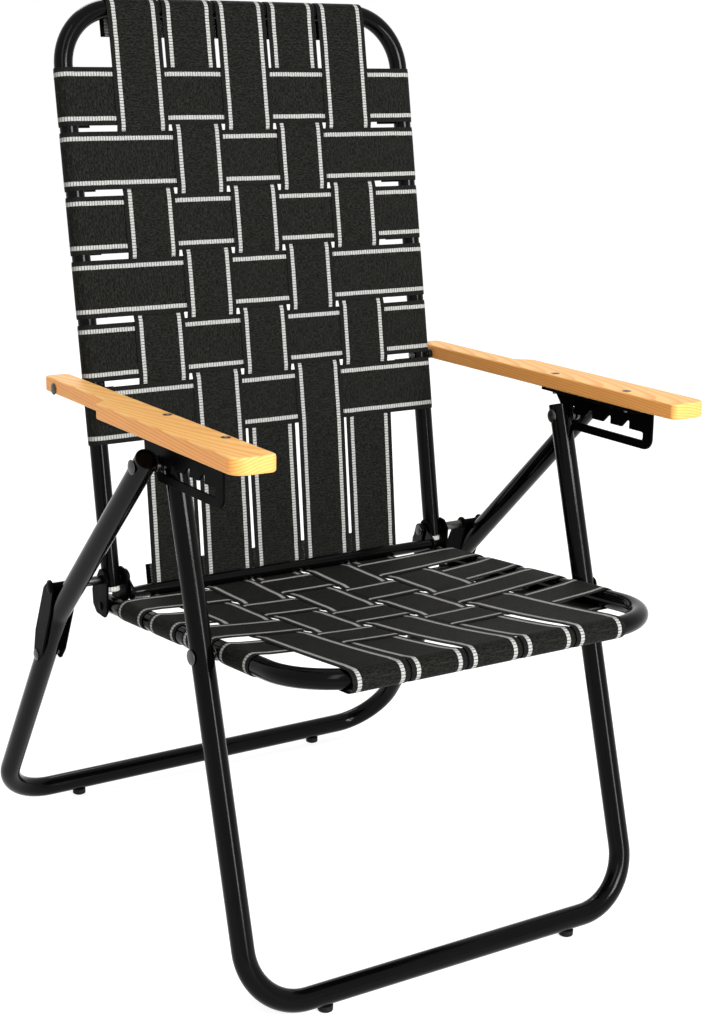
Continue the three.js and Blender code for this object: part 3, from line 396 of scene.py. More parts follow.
# Paint, plastic or plating: one colour with slight smudges, fine relief and uneven gloss
def coated(name, look):
    material, g, shader = newMaterial(name)
    (low, high), (grainScale, smudgeScale) = look["gloss"], look["scales"]
    fine = g.add("Group", node_tree=fineSurface)
    for key, value in (("Vector", g.add("TexCoord").outputs["Object"]), ("Grain Scale", grainScale),
                       ("Smudge Scale", smudgeScale), ("Low", low), ("High", high)):
        g.give(fine.inputs[key], value)
    made = fine.outputs
    g.finish(shader, {"Base Color": g.mixColour(made["Smudge"], look["clean"], look["smudged"]),
                      "Roughness": made["Roughness"], "Metallic": look.get("metallic", 0.0),
                      "Specular IOR Level": look.get("specular", 0.5)}, made["Height"], *look["relief"])
    return material


# gloss runs from low to high, scales are the grain's and the smudges', and relief is strength and depth in mm
finishes = {
    "black_steel": {"clean": (0.0008, 0.0008, 0.0009), "smudged": (0.0014, 0.0014, 0.0014),
                    "gloss": (0.1, 0.17), "scales": (700.0, 14.0), "relief": (0.12, 0.15), "specular": 0.085},
    "black_sheet": {"clean": (0.0012, 0.0012, 0.0013), "smudged": (0.002, 0.002, 0.002), "gloss": (0.3, 0.42),
                    "scales": (700.0, 25.0), "relief": (0.12, 0.15), "specular": 0.014},
    "black_plastic": {"clean": (0.004, 0.004, 0.004), "smudged": (0.009, 0.009, 0.0085), "gloss": (0.4, 0.55),
                      "scales": (1400.0, 60.0), "relief": (0.3, 0.15), "specular": 0.12},
    "pale_nylon": {"clean": (0.6, 0.6, 0.57), "smudged": (0.42, 0.41, 0.38), "gloss": (0.4, 0.55),
                   "scales": (900.0, 120.0), "relief": (0.2, 0.2)},
    "zinc_steel": {"clean": (0.1, 0.1, 0.098), "smudged": (0.05, 0.05, 0.048), "gloss": (0.22, 0.42),
                   "scales": (1200.0, 150.0), "relief": (0.25, 0.1), "metallic": 1.0},
}
# Distances in mm. A noise is (scale along, scale across, detail, roughness); white is dull and bright yarn,
# and the dark colour laid on with the ribs is painted shade
webLook = {"stripeAt": 22.2, "stripeHalf": 2.15, "stripeSoft": (0.2, -0.25), "blockPitch": 3.0,
           "blockBand": (0.42, 0.34), "ribPitch": 1.05, "warpPitch": 1.3, "sway": 0.7,
           "swayNoise": (0.05, 0.02, 2.0), "fleck": (1.6, 0.35, 3.0, 0.7), "fleckBand": (0.35, 0.7),
           "streak": (0.62, 0.07, 3.0, 0.65), "speck": (0.95, 0.3, 2.0, 0.6), "streakShare": 0.35,
           "shadeBand": (0.4, 0.62), "ribShadeShare": 0.45, "selvedgeFrom": (1.6, 2.6), "selvedgeShare": 0.55,
           "black": (0.0015, 0.0015, 0.0012), "worn": (0.0175, 0.018, 0.0148),
           "ribShade": (0.002, 0.002, 0.002), "selvedge": (0.006, 0.006, 0.006), "pick": (0.1, 0.1, 0.096),
           "white": ((0.29, 0.29, 0.277), (0.45, 0.45, 0.432)),
           "heights": {"rib": 0.5, "warp": 0.22, "fleck": 0.3, "white": 1.25}, "relief": (0.7, 0.28),
           "gloss": (0.2, 0.52), "specular": 0.045, "sheen": 0.008, "sheenRoughness": 0.4}
# The same for pine, with a noise as (scale across, scale along, detail, roughness) and scales per metre.
# fibre and cloud are each a noise, its band, its share and its tint. edge is a painted-shade tint for the
# upright faces, with its band and its share.
pineLook = {"ringPitch": 3.1, "lean": -1.2, "bow": 7, "bowNoise": (14.0, 3.2, 2.0), "flatten": 1.15,
            "ringBow": 4.5, "ringRise": (0.35, 0.86), "ringFall": (1.0, 0.93), "strengthScale": (2.0, 260.0),
            "strength": (1.1, 0.15),
            "fibre": ((900.0, 26.0, 3.0, 0.6), (0.5, 0.8), 0.25, (0.53, 0.25, 0.075)),
            "cloud": ((30.0, 9.0, 3.0), (0.45, 0.75), 0.3, (0.73, 0.355, 0.127)), "sideShadeBand": (0.75, 0.3),
            "edgeShare": 0.6, "fibreHeight": 0.6, "ringDepth": 0.4, "relief": (0.25, 0.25),
            "gloss": (0.18, 0.34), "specular": 0.25, "pale": (0.9, 0.515, 0.172), "late": (0.8, 0.315, 0.06),
            "edge": (0.94, 0.64, 0.42)}
# The axis that each arm's year rings go round, and its turn in plan
hearts = {"left": {"x": -212, "z": 482, "turn": 0.25}, "right": {"x": 216, "z": 478, "turn": -0.3}}


# Woven webbing: ribs across its width, white ladder stripes near both edges and a plain black selvedge.
# The web's own map gives the distance along it and across it in metres.
def webbingMaterial(look):
    material, g, shader = newMaterial("webbing")
    split = g.add("SeparateXYZ", {0: g.add("UVMap", uv_map="along").outputs[0]})
    along, across = (g.math("DIVIDE", split.outputs[k], mm) for k in (0, 1))

    def yarnNoise(alongScale, acrossScale, *texture):
        return g.noise(g.combine(g.times(along, alongScale), g.times(across, acrossScale)), 1.0, *texture)

    sway = g.times(g.minus(yarnNoise(*look["swayNoise"]), 0.5), look["sway"])
    fromMiddle = g.math("ABSOLUTE", g.plus(across, sway))
    fromStripe = g.math("ABSOLUTE", g.minus(fromMiddle, look["stripeAt"]))
    stripe = g.band(fromStripe, *(look["stripeHalf"] + soft for soft in look["stripeSoft"]))
    # white yarn floats in blocks with a dark pick between them
    fromBlock = g.math("ABSOLUTE", g.minus(g.math("FRACT", g.math("DIVIDE", along, look["blockPitch"])), 0.5))
    white = g.times(stripe, g.band(fromBlock, *look["blockBand"]))
    # the picks stand up as ribs across the web, crossed by fine warp yarns
    rib, warp = g.wave(along, look["ribPitch"]), g.wave(across, look["warpPitch"])
    fleck = yarnNoise(*look["fleck"])
    streaks = g.times(yarnNoise(*look["streak"]), look["streakShare"])
    shade = g.plus(streaks, g.times(yarnNoise(*look["speck"]), 1 - look["streakShare"]))
    black = g.mixColour(g.band(shade, *look["shadeBand"]), look["black"], look["worn"])
    # painted shade: the black is darkened in step with each rib of the weave
    black = g.mixColour(g.times(rib, look["ribShadeShare"]), black, look["ribShade"])
    selvedge = g.band(fromMiddle, *(look["stripeAt"] + reach for reach in look["selvedgeFrom"]))
    black = g.mixColour(g.times(selvedge, look["selvedgeShare"]), black, look["selvedge"])
    betweenBlocks = g.mixColour(stripe, black, look["pick"])
    whiteYarn = g.mixColour(g.band(fleck, *look["fleckBand"]), *look["white"])
    high = look["heights"]
    height = g.plus(g.times(rib, high["rib"]), g.times(warp, high["warp"]), g.times(fleck, high["fleck"]))
    height = g.plus(g.times(height, g.minus(1.0, white)), g.times(white, high["white"]))
    g.finish(shader, {"Base Color": g.mixColour(white, betweenBlocks, whiteYarn),
                      "Roughness": g.math("MULTIPLY_ADD", fleck, *look["gloss"]),
                      "Specular IOR Level": look["specular"], "Sheen Weight": look["sheen"],
                      "Sheen Roughness": look["sheenRoughness"]}, height, *look["relief"])
    return material


# Lacquered pine: year rings about an axis that runs the arm's length, so the sides show lines, the top
# shows long arches and the end shows arcs.
def pineMaterial(name, look, heart):
    material, g, shader = newMaterial(name)
    place = g.add("Mapping", {"Vector": g.add("TexCoord").outputs["Object"],
                              "Location": (-heart["x"] * mm, 0, -heart["z"] * mm),
                              "Rotation": (math.radians(look["lean"]), 0, math.radians(heart["turn"]))},
                  vector_type="POINT")
    x, y, z = g.add("SeparateXYZ", {0: place.outputs[0]}).outputs

    # noise drawn out along the grain
    def grainNoise(across, along, *texture):
        return g.noise(g.combine(g.times(x, across), g.times(y, along), g.times(z, across)), 1.0, *texture)

    bow = g.minus(grainNoise(*look["bowNoise"]), 0.5)
    bentX, bentZ = g.plus(x, g.times(bow, look["bow"] * mm)), g.times(z, look["flatten"])
    distance = g.math("SQRT", g.plus(g.times(bentX, bentX), g.times(bentZ, bentZ)))
    distance = g.plus(distance, g.times(bow, look["ringBow"] * mm))
    phase = g.math("FRACT", g.math("DIVIDE", distance, look["ringPitch"] * mm))
    late = g.times(g.band(phase, *look["ringRise"]), g.band(phase, *look["ringFall"]))
    alongScale, ringScale = look["strengthScale"]
    strength = g.noise(g.combine(0.0, g.times(y, alongScale), g.times(distance, ringScale)), 1.0, 1.0)
    late = g.times(late, g.math("MULTIPLY_ADD", strength, *look["strength"]))
    colour = g.mixColour(late, look["pale"], look["late"])
    fibre, cloud = (grainNoise(*look[key][0]) for key in ("fibre", "cloud"))
    for noise, (span, share, tint) in ((fibre, look["fibre"][1:]), (cloud, look["cloud"][1:])):
        colour = g.mixColour(g.times(g.band(noise, *span), share), colour, tint)
    # painted shade: faces that stand upright are tinted darker and more orange than the flat top
    facing = g.add("SeparateXYZ", {0: g.add("NewGeometry").outputs["Normal"]}).outputs[2]
    edge = g.times(g.band(g.math("ABSOLUTE", facing), *look["sideShadeBand"]), look["edgeShare"])
    height = g.minus(g.times(fibre, look["fibreHeight"]), g.times(late, look["ringDepth"]))
    g.finish(shader, {"Base Color": g.mixColour(edge, colour, look["edge"], "MULTIPLY"),
                      "Roughness": g.math("MULTIPLY_ADD", fibre, *look["gloss"]),
                      "Specular IOR Level": look["specular"]}, height, *look["relief"])
    return material


materials = {slotName: coated(slotName, look) for slotName, look in finishes.items()}
materials["webbing"] = webbingMaterial(webLook)
# Pieces that look unlike their slot: each armrest is a board of its own, and stamped steel has a duller paint
ownLook = {f"armrest_{label}": pineMaterial(f"pine_{label}", pineLook, heart)
           for label, heart in hearts.items()}
for stamped in ("hinge_plate_inner_", "hinge_plate_outer_", "ladder_plate_", "link_"):
    ownLook |= {stamped + label: materials["black_sheet"] for label in sides}
print("materials made:", len(materials) + len(hearts))


# Tube frames

# Four hoops, each drawn in its own tilted plane about the pivot or hinge that it turns on
def makeFrames():
    pivot, half, corner = np.array(legs["pivot"]), racks["halfWidth"], legs["corner"]
    knee = legs["knee"] - pivot
    rearSide = [-unit(knee) * legs["top"], knee, (legs["rearFoot"], legs["footRise"]) - pivot]
    front = hoopPath(legs["frontHalfWidth"], [(0, legs["top"]), (0, -np.linalg.norm(legRun))], corner)
    rear = hoopPath(legs["rearHalfWidth"], rearSide, corner, [0, legs["kneeRadius"]])
    seat = hoopPath(half, [(0, 0), (-racks["seatLength"], 0)], racks["seatCorner"])
    back = hoopPath(half, [(0, -racks["backTail"]), (0, racks["backTop"])], racks["backCorner"])
    for node, path, origin, tilt, radius in (
            ("front_leg_frame", front, pivot, frontLegTilt, tube["legRadius"]),
            ("rear_leg_frame", rear, pivot, 0, tube["legRadius"]),
            ("seat_frame", seat, seatRear, -racks["seatRise"], tube["rackRadius"]),
            ("back_frame", back, hinge, -racks["backLean"], tube["rackRadius"])):
        makePiece(node, "tube", [sweptTube(placed(path, origin, tilt), radius)])


makeFrames()
print("tube frames made")


# Webbing

web = {"width": 58.3, "thickness": 0.9, "gap": 0.5, "tail": 27, "across": 17, "spacing": 2.0, "inset": 1.2,
       "standoff": 0.3, "edgeShare": 0.45, "edgeWidth": 2.2, "settle": 14, "fewest": 8, "sharp": 60}
# long and cross give the webs that run lengthwise and across: the first one's place, the pitch and the count
seatWeave = {"sag": 11, "spanRear": 12, "barArc": (-225, -90), "long": (-138, 61, 5), "cross": (74, 73.5, 4)}
backWeave = {"dip": 4.5, "long": (-124, 62, 5), "cross": (89.5, 64.5, 6)}
bars = {"radius": 6.35, "seat": (-20.3, -11.5), "back": (6.7, -22.5), "earRadius": 8,
        "earThickness": 2.4, "taper": 14, "taperSteps": 7, "edge": 0.5}

wrapRadius = tube["rackRadius"] + web["standoff"] + web["thickness"] / 2
barWrapRadius = bars["radius"] + web["standoff"] + web["thickness"] / 2
weaveLift = (web["thickness"] + web["gap"]) / 2
acrossWeb = np.linspace(-0.5, 0.5, web["across"]) * web["width"]


# Even places from the first one on
def pitched(first, pitch, count):
    return [first + i * pitch for i in range(count)]


seatLongPlaces, seatCrossPlaces, backLongPlaces, backCrossPlaces = (
    pitched(*weave[way]) for weave in (seatWeave, backWeave) for way in ("long", "cross"))


# The seat's sag: a parabola across times a parabola along, below the level of the tubes' tops
def seatSurface(x, ahead):
    sideShare = np.clip(1 - (x / racks["halfWidth"]) ** 2, 0, None)
    half = (racks["seatLength"] - seatWeave["spanRear"]) / 2
    ahead = np.maximum(ahead, seatCrossPlaces[0] - web["width"] / 2)
    lengthShare = np.clip(1 - ((ahead - seatWeave["spanRear"] - half) / half) ** 2, 0, None)
    return wrapRadius - seatWeave["sag"] * sideShare * lengthShare


# The back's face: level with the tubes at the top and drawn in by a few millimetres towards the lower bar
def backSurface(x, down):
    end = backCrossPlaces[-1] + web["width"] / 2
    sideShare = np.clip(1 - (np.abs(x) / racks["halfWidth"]) ** 4, 0, None)
    return wrapRadius - backWeave["dip"] * sideShare * (np.minimum(down, end) / end) ** 2


# Over and under: a step of one lift up or down at each crossing, with a smooth change in the gap between
def weaveRise(place, crossings, firstOver):
    signs = [1 if (i % 2 == 0) == firstOver else -1 for i in range(len(crossings))]
    reach = web["width"] / 2 - web["inset"]
    marks = [edge for centre in crossings for edge in (centre - reach, centre + reach)]
    values = [sign for sign in signs for _ in range(2)]
    rise = np.full(np.shape(place), float(values[0]))
    for i in range(len(marks) - 1):
        t = np.clip((place - marks[i]) / (marks[i + 1] - marks[i]), 0, 1)
        rise = rise + (values[i + 1] - values[i]) * eased(t)
    return rise * weaveLift


# The weave's rise fades out over the last stretch before a tube, where the web lies on it
def settled(rise, place, low, high):
    return rise * np.clip(np.minimum(place - low, high - place) / web["settle"], 0, 1)


# The same line with points at even distances
def evenly(line):
    length = lengthAlong(line)
    at = np.linspace(0, length[-1], max(int(length[-1] / web["spacing"]), web["fewest"]) + 1)
    return np.column_stack([np.interp(at, length, line[:, k]) for k in range(line.shape[1])])


# A closed ribbon: its middle surface pushed out to both sides by half the thickness, thinner at both edges.
# middle is a grid of points along by across, and across is the width's direction.
def ribbonShell(middle, across):
    normal = unit(np.cross(unit(np.gradient(middle, axis=0)), across))
    fromEdge = np.clip((web["width"] / 2 - np.abs(acrossWeb)) / web["edgeWidth"], 0, 1)
    share = web["edgeShare"] + (1 - web["edgeShare"]) * np.sin(fromEdge * math.pi / 2)
    offset = normal * (web["thickness"] / 2 * share)[None, :, None]
    loop = np.concatenate([middle + offset, (middle - offset)[:, ::-1]], axis=1)
    rows, cols = loop.shape[:2]
    k = np.arange(middle.shape[1] - 1)
    end = np.stack([k, k + 1, cols - 2 - k, cols - 1 - k], -1)
    return loop, np.concatenate([gridFaces(rows, cols, closed=True), end, end + (rows - 1) * cols])


# One web. It runs (along, off): a lead-in line, a span from one place to another whose height is a function
# of the place and the distance across, and a lead-out line; toWorld lays (along, off, across) in the chair.
def makeWeb(node, span, leads, height, toWorld, across, rests):
    leadIn, leadOut = (evenly(lead) for lead in leads)
    inner = np.linspace(span[0], span[1], int((span[1] - span[0]) / web["spacing"]))[1:-1]
    along = np.concatenate([leadIn[:, 0], inner, leadOut[:, 0]])
    grid = np.repeat(along[:, None], len(acrossWeb), 1)
    off = np.concatenate([leadIn[:, 1], inner * 0, leadOut[:, 1]])[:, None] + 0 * grid
    onSpan = slice(len(leadIn), len(leadIn) + len(inner))
    off[onSpan] = height(grid[onSpan], acrossWeb[None, :])
    middle = toWorld(grid, off, acrossWeb[None, :] + 0 * grid)
    loop, faces = ribbonShell(middle, across)
    piece = makePiece(node, "strap", [(loop, faces)], sharpAngle=web["sharp"])
    length = lengthAlong(middle[:, middle.shape[1] // 2])
    acrossLoop = np.concatenate([acrossWeb, acrossWeb[::-1]])
    mapping = np.stack(np.meshgrid(length, acrossLoop, indexing="ij"), -1) * mm
    layer = piece.data.uv_layers.new(name="along")
    index = np.zeros(len(piece.data.loops), int)
    piece.data.loops.foreach_get("vertex_index", index)
    layer.data.foreach_set("uv", mapping.reshape(-1, 2)[index].ravel())
    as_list(rests)


# Lead-in and lead-out round a pair of tubes: a tail under the tube, then half a turn round it
def roundTubes(low, high, radius):
    leadIn = np.concatenate([[(low + web["tail"], -radius)], arcLine((low, 0), radius, 270, 90)])
    leadOut = np.concatenate([arcLine((high, 0), radius, 90, -90), [(high - web["tail"], -radius)]])
    return leadIn, leadOut


# The webs of one rack: cross webs from side to side, then lengthwise webs between the end tube and the bar.
# A web's place runs ahead on the seat and down on the back, and toWorld lays (x, place, off) in the chair.
# Past the last cross web, at edge, a lengthwise web goes straight to the bar: bar is (node, place, level).
# The weave of the lengthwise webs settles towards both places of fade; one that is far off changes nothing.
def makeWebs(rack, surface, toWorld, crosses, lengths, crossOver, facing, edge, bar, span, leads, fade):
    half, rests = racks["halfWidth"], [rack + "_frame_tube"]
    direction = toWorld(0, facing, 0) - toWorld(0, 0, 0)
    for i, place in enumerate(crosses):
        makeWeb(f"{rack}_web_cross_{i + 1}", (-half, half), roundTubes(-half, half, wrapRadius),
                lambda x, width: surface(x, place + facing * width)
                + settled(weaveRise(x, lengths, i % 2 == crossOver), x, -half, half),
                lambda x, off, width: toWorld(x, place + facing * width, off), direction, rests)
    barNode, barPlace, barLevel = bar
    for i, centre in enumerate(lengths):
        def height(place, width):
            onRack = (surface(centre + width, place)
                      + settled(weaveRise(place, crosses, i % 2 != crossOver), place, *fade))
            t = np.clip((place - barPlace) / (edge - barPlace), 0, 1)
            return barLevel * (1 - t) + onRack * t

        makeWeb(f"{rack}_web_long_{i + 1}", span, leads, height,
                lambda place, off, width: toWorld(centre + width, place, off), np.array([1.0, 0, 0]),
                rests + [barNode])


# The lengthwise webs start on top of the rear crossbar, go round behind it and leave from under it
def makeSeatWebs():
    length, tilt = racks["seatLength"], -racks["seatRise"]
    ahead, off = placed((0, bars["seat"][0] - racks["hingeAhead"], bars["seat"][1] + racks["hingeRise"]),
                        tilt=-tilt)[1:] * (-1, 1)
    leads = arcLine((ahead, off), barWrapRadius, *seatWeave["barArc"]), roundTubes(0, length, wrapRadius)[1]
    makeWebs("seat", seatSurface,
             lambda x, place, off: placed(np.stack([x, -place, off], -1), seatRear, tilt),
             seatCrossPlaces, seatLongPlaces, 0, 1, seatCrossPlaces[0] - web["width"] / 2,
             ("seat_rear_crossbar_rod", ahead, off - barWrapRadius), (ahead, length), leads,
             (-length, length))


# These go over the top tube and round the front of the lower crossbar, and turn in behind both
def makeBackWebs():
    top, tilt = racks["backTop"], -racks["backLean"]
    # the bar's place in the back's plane: how far down from the top, and how far off the face
    down, off = (top, 0) - placed((0, *bars["back"]), tilt=-tilt)[:0:-1]
    arc = arcLine((down, off), barWrapRadius, 90, -90)
    leads = roundTubes(0, top, wrapRadius)[0], np.concatenate([arc, arc[-1:] - (web["tail"], 0)])
    makeWebs("back", backSurface,
             lambda x, place, off: placed(np.stack([x, -off, top - place], -1), hinge, tilt),
             backCrossPlaces, backLongPlaces, 1, -1, backCrossPlaces[-1] + web["width"] / 2,
             ("back_lower_crossbar_rod", down, off + barWrapRadius), (0, down), leads, (0, 2 * top))


makeSeatWebs()
makeBackWebs()
print("webbing made")


# Crossbars, hinge plates and bolts

hingePlates = {"sheet": 2.5, "size": (37, 51), "corner": 5, "edge": 0.5, "rivetRadius": 5, "rivetHeight": 1.4,
               "rivetSetback": 9, "outline": [(-0.43, -0.61), (-0.43, 0.06), (-0.22, 0.22), (0.06, 0.235),
                                              (0.57, -0.29), (0.51, -0.61), (0.27, -0.76), (-0.27, -0.76)]}
legPins = {"radius": 3.6, "head": 7, "height": 2.2, "disc": 0.8}
seatRivets = {"radius": 3.2, "head": 7.5, "tail": 6, "washer": 5.5, "height": 2.2, "disc": 0.7}
bolts = {"radius": 3, "head": 6, "height": 2.2, "disc": 0.8, "collar": 4.75}
armBolts = {"radius": 2.8, "head": 6, "height": 2.2, "disc": 0.8, "spacer": 5, "spacerEdge": 0.4}
linkRivets = {"radius": 3, "head": 6, "height": 1.6, "disc": 0.6, "tail": 5.4, "tailDisc": 0.8, "edge": 0.2}
domeInset, domeSink = 0.3, 0.1

plateInner = racks["halfWidth"] - tube["rackRadius"] - fits["gap"] - hingePlates["sheet"]
plateOuter = racks["halfWidth"] + tube["rackRadius"] + fits["gap"] + hingePlates["sheet"]
seatEarOuter = plateInner - fits["gap"]
backEarOuter = seatEarOuter - bars["earThickness"] - fits["gap"]
hingeHole = circle(bolts["radius"] + fits["gap"], hinge)


# A rod that flattens at each end into an ear with a bolt hole: a tapered turned rod and two rounded ears
def earedBar(node, offset, earOuter):
    rodAt = hinge + offset
    earMiddle = earOuter - bars["earThickness"] / 2
    taper = earOuter - bars["earThickness"] - bars["taper"]
    endRadius = bars["earRadius"] - bars["earThickness"]
    growth = bars["radius"] - endRadius
    steps = [(earMiddle + (taper - earMiddle) * share, endRadius + growth * eased(share))
             for share in np.linspace(0, 1, bars["taperSteps"])]
    rod = turned([(-x, radius) for x, radius in steps] + steps[::-1], rodAt, 0)
    away = math.degrees(math.atan2(offset[1], offset[0]))
    ear = np.concatenate([arcLine(hinge, bars["earRadius"], away + 90, away + 270),
                          arcLine(rodAt, bars["earRadius"], away - 90, away + 90)])
    ears = [acrossX(cutSheet(ear, bars["earThickness"], bars["edge"], hingeHole), sign * earMiddle)
            for sign in sides.values()]
    makePiece(node, "rod", [rod, *ears], weigh=True)


# Stamped plates either side of the seat and back tubes, each with the low dome of its rivet
def makeHingePlates():
    sheet, setback, radius = (hingePlates[key] for key in ("sheet", "rivetSetback", "rivetRadius"))
    corners = hinge + np.array(hingePlates["outline"]) * hingePlates["size"]
    outline = roundCorners(corners, hingePlates["corner"], plateSteps)
    rise = math.radians(racks["seatRise"])
    rivetAt = seatRear + (-setback * math.cos(rise), setback * math.sin(rise))
    for place, x, facing in (("inner", plateInner + sheet / 2, -1), ("outer", plateOuter - sheet / 2, 1)):
        plate = acrossX(cutSheet(outline, sheet, hingePlates["edge"], hingeHole), x)
        face, top = (x + facing * (sheet / 2 + height) for height in (0, hingePlates["rivetHeight"]))
        rivet = turned([(x, radius)] + dome(face, top, radius), rivetAt, 0)
        makePair(f"hinge_plate_{place}", "plate", [plate, rivet], weigh=True)


# A shank turned about X: sections are (from, to, radius), outwards from the chair's middle. headIn and
# headOut are the radii of the domed heads before the first section and after the last, where there are any.
def headed(name, kind, axisAt, sizes, sections, headIn=0, headOut=0):
    domes = []
    for face, out, radius in ((sections[0][0], -1, headIn), (sections[-1][1], 1, headOut)):
        if radius:
            disc = face + out * sizes["disc"]
            sections = [(disc, face, radius)] + sections if out < 0 else sections + [(face, disc, radius)]
            rim, foot, top = disc - out * domeInset, disc - out * domeSink, face + out * sizes["height"]
            domes.append(turned([(rim, radius - domeInset)] + dome(foot, top, radius - domeInset), axisAt, 0))
    steps = [(x, radius) for start, end, radius in sections for x in (start, end)]
    makePair(name, kind, [turned(steps, axisAt, sizes.get("edge", fineEdge)), *domes])


# The faces, a gap clear, inside and outside a tube or channel at halfWidth
def facesOf(halfWidth, reach):
    return halfWidth - reach - fits["gap"], halfWidth + reach + fits["gap"]


# Each pin, bolt and rivet as its sections from the inside out, cut at the faces of what it holds
def makeFasteners():
    gap, pivot = fits["gap"], fits["pivot"]
    legIn, legOut = facesOf(legs["frontHalfWidth"], tube["legRadius"])
    rearIn, rearOut = facesOf(legs["rearHalfWidth"], tube["legRadius"])
    rackIn, rackOut = facesOf(racks["halfWidth"], tube["rackRadius"])
    linkIn, linkOut = facesOf(legs["rearHalfWidth"], tube["legRadius"] + link["sideFit"] + link["sheet"])
    ladderIn, ladderOut = ladder["x"] - ladder["sheet"] / 2, ladder["x"] + ladder["sheet"] / 2
    earIn, armOut = backEarOuter - bars["earThickness"] - gap, arms["narrow"] + gap
    shank, head = legPins["radius"], legPins["head"]
    headed("leg_pin_inner", "pin", legs["pivot"], legPins,
           [(legIn, legOut, shank), (legOut, ladderIn - pivot, head)], headIn=head)
    headed("leg_pin_outer", "pin", legs["pivot"], legPins,
           [(ladderOut + pivot, rearIn, head), (rearIn, rearOut, shank)], headOut=head)
    shank = seatRivets["radius"]
    headed("seat_rivet", "rivet", seatPivot, seatRivets,
           [(rackIn, rackOut, shank), (rackOut, legIn, seatRivets["washer"]), (legIn, legOut, shank)],
           seatRivets["tail"], seatRivets["head"])
    collar = plateOuter + gap
    headed("hinge_bolt", "bolt", hinge, bolts,
           [(earIn, collar, bolts["radius"]), (collar, linkIn + gap - pivot, bolts["collar"])], bolts["head"])
    headed("arm_bolt", "bolt", armBolt, armBolts, [(rackIn, armOut, armBolts["radius"])], armBolts["head"],
           armBolts["head"])
    headed("link_rivet", "rivet", linkFoot, linkRivets,
           [(linkIn - linkRivets["tailDisc"], linkIn, linkRivets["tail"]),
            (linkIn, linkOut, linkRivets["radius"])], headOut=linkRivets["head"])


# The arm spacer is a bush: its wall goes out along the outside and back through the bore
def makeArmSpacers():
    start = racks["halfWidth"] + wrapRadius + web["thickness"] / 2 + fits["gap"]
    end, bore, outside = arms["inner"] - fits["gap"], armBolts["radius"] + fits["gap"], armBolts["spacer"]
    corners = [(start, bore), (start, outside), (end, outside), (end, bore)]
    wall = roundCorners(corners, armBolts["spacerEdge"], edgeSteps)
    faces = gridFaces(len(wall) + 1, around, closed=True) % (len(wall) * around)
    makePair("arm_spacer", "bush", [(carriedRound(wall, armBolt, around), faces)])


# Foot studs, back plugs

studs = {"height": 7, "radius": 7.5, "sole": 5.5, "soleRise": 1.2, "frontInset": 79.4, "rearInset": 96.2,
         "groove": [(0.62, 0), (0.7, 0.7), (0.78, 0)], "edge": 0.5}
plugs = {"radius": 8, "length": 5.5, "ribs": 18, "ribDepth": 0.45, "endShare": 0.8, "endRise": 0.9,
         "rimShare": 0.9, "edge": 0.4, "around": 90}


# A stud: a turned foot with a rounded sole and a groove under its top, standing on the floor
def makeStuds():
    top, radius = studs["height"] - fits["gap"], studs["radius"]
    steps = [(0, studs["sole"]), (studs["soleRise"], radius),
             *[(top * share, radius - depth) for share, depth in studs["groove"]], (top, radius)]
    shape, faces = turned(steps, rounding=studs["edge"])
    for row in ("front", "rear"):
        x = legs[row + "HalfWidth"] - studs[row + "Inset"]
        stood = shape[..., [1, 2, 0]] + (x, legs[row + "Foot"], 0)
        makePair(row + "_foot_stud", "stud", [(stood, faces)])


# A plug: a turned stopper whose rim is knurled by a cosine of the angle, below each open end of the back
def makePlugs():
    high, radius = -(racks["backTail"] + fits["gap"]), plugs["radius"]
    low = high - plugs["length"]
    steps = [(low, radius * plugs["endShare"]), (low + plugs["endRise"], radius), (high, radius)]
    shape, faces = turned(steps, (0, 0), plugs["edge"], plugs["around"])
    rise, across, upward = np.moveaxis(shape, -1, 0)
    distance = np.hypot(across, upward)
    knurl = plugs["ribDepth"] * (0.5 - 0.5 * np.cos(np.arctan2(upward, across) * plugs["ribs"]))
    share = 1 - knurl * (distance > radius * plugs["rimShare"]) / np.maximum(distance, nearZero)
    stood = np.stack([across * share + racks["halfWidth"], upward * share, rise], -1)
    makePair("back_plug", "plug", [(placed(stood, hinge, -racks["backLean"]), faces)])


# Armrests, ladder plates and their screws. In the arms' plane, y is minus the distance ahead of the arm bolt.

arms = {"inner": 217.4, "outer": 260, "narrow": 244.3, "ahead": 413.6, "behind": 25.5, "thickness": 15.5,
        "centreRise": 2.4, "rise": 2.5, "shoulder": 123.7, "shoulderRun": 14, "edge": 2.2,
        "frontOuter": 14, "frontInner": 7, "rear": 6, "cornerSteps": 8}
screws = {"x": 225, "ahead": (220, 334), "radius": 2.2, "headRadius": 4.6, "tail": 3, "proud": 0.5,
          "slotWidth": 0.75, "slotReach": 2.4, "slotDepth": 1.6, "slotLip": 0.1, "slotSide": 0.3,
          "slotEnd": 0.5, "crown": 0.25, "crownInset": 0.2, "crownRings": 26, "around": 96, "sharp": 50,
          "tailEdge": 0.6, "cone": [(4.6, 0.12), (4.6, -0.05), (4.3, -0.2), (2.2, -1.8)]}
ladder = {"x": 240, "sheet": 2.5, "rear": 204, "front": 358.3, "footRear": 232.6, "depth": 42.6,
          "heelDepth": 7.5, "flangeInner": 218.4, "slotFloor": 8.6, "slotHeight": 8.4, "slotFront": 345,
          "notchDepth": 8, "notchWidth": 8.5, "notchCrown": 3.5, "notchPitch": 29.1, "notches": 4,
          "rearMargin": 5, "edge": 0.4, "radii": (0.5, 2.5, 2.5, 12, 0.5), "cornerSteps": 8,
          "slotRadii": (3, 3, 2), "notchRadii": (0.8, 1.2, 1.2, 1.5), "slotSteps": 4,
          "flangeRadii": (3, 0.4, 0.4, 3)}
link = {"sheet": 2, "sideFit": 0.5, "headRadius": 8, "footRadius": 7.5, "front": 11, "rear": 13,
        "shoulder": 24, "webStart": 34, "webEnd": 84, "sleeveRadius": 4.75, "rivetRise": 0.3, "edge": 0.4,
        "webEdge": 0.3, "footArc": (198, 342, 12), "headArc": (0, 180, 14), "rearRadii": (6, 6),
        "frontRadii": (6, 5)}

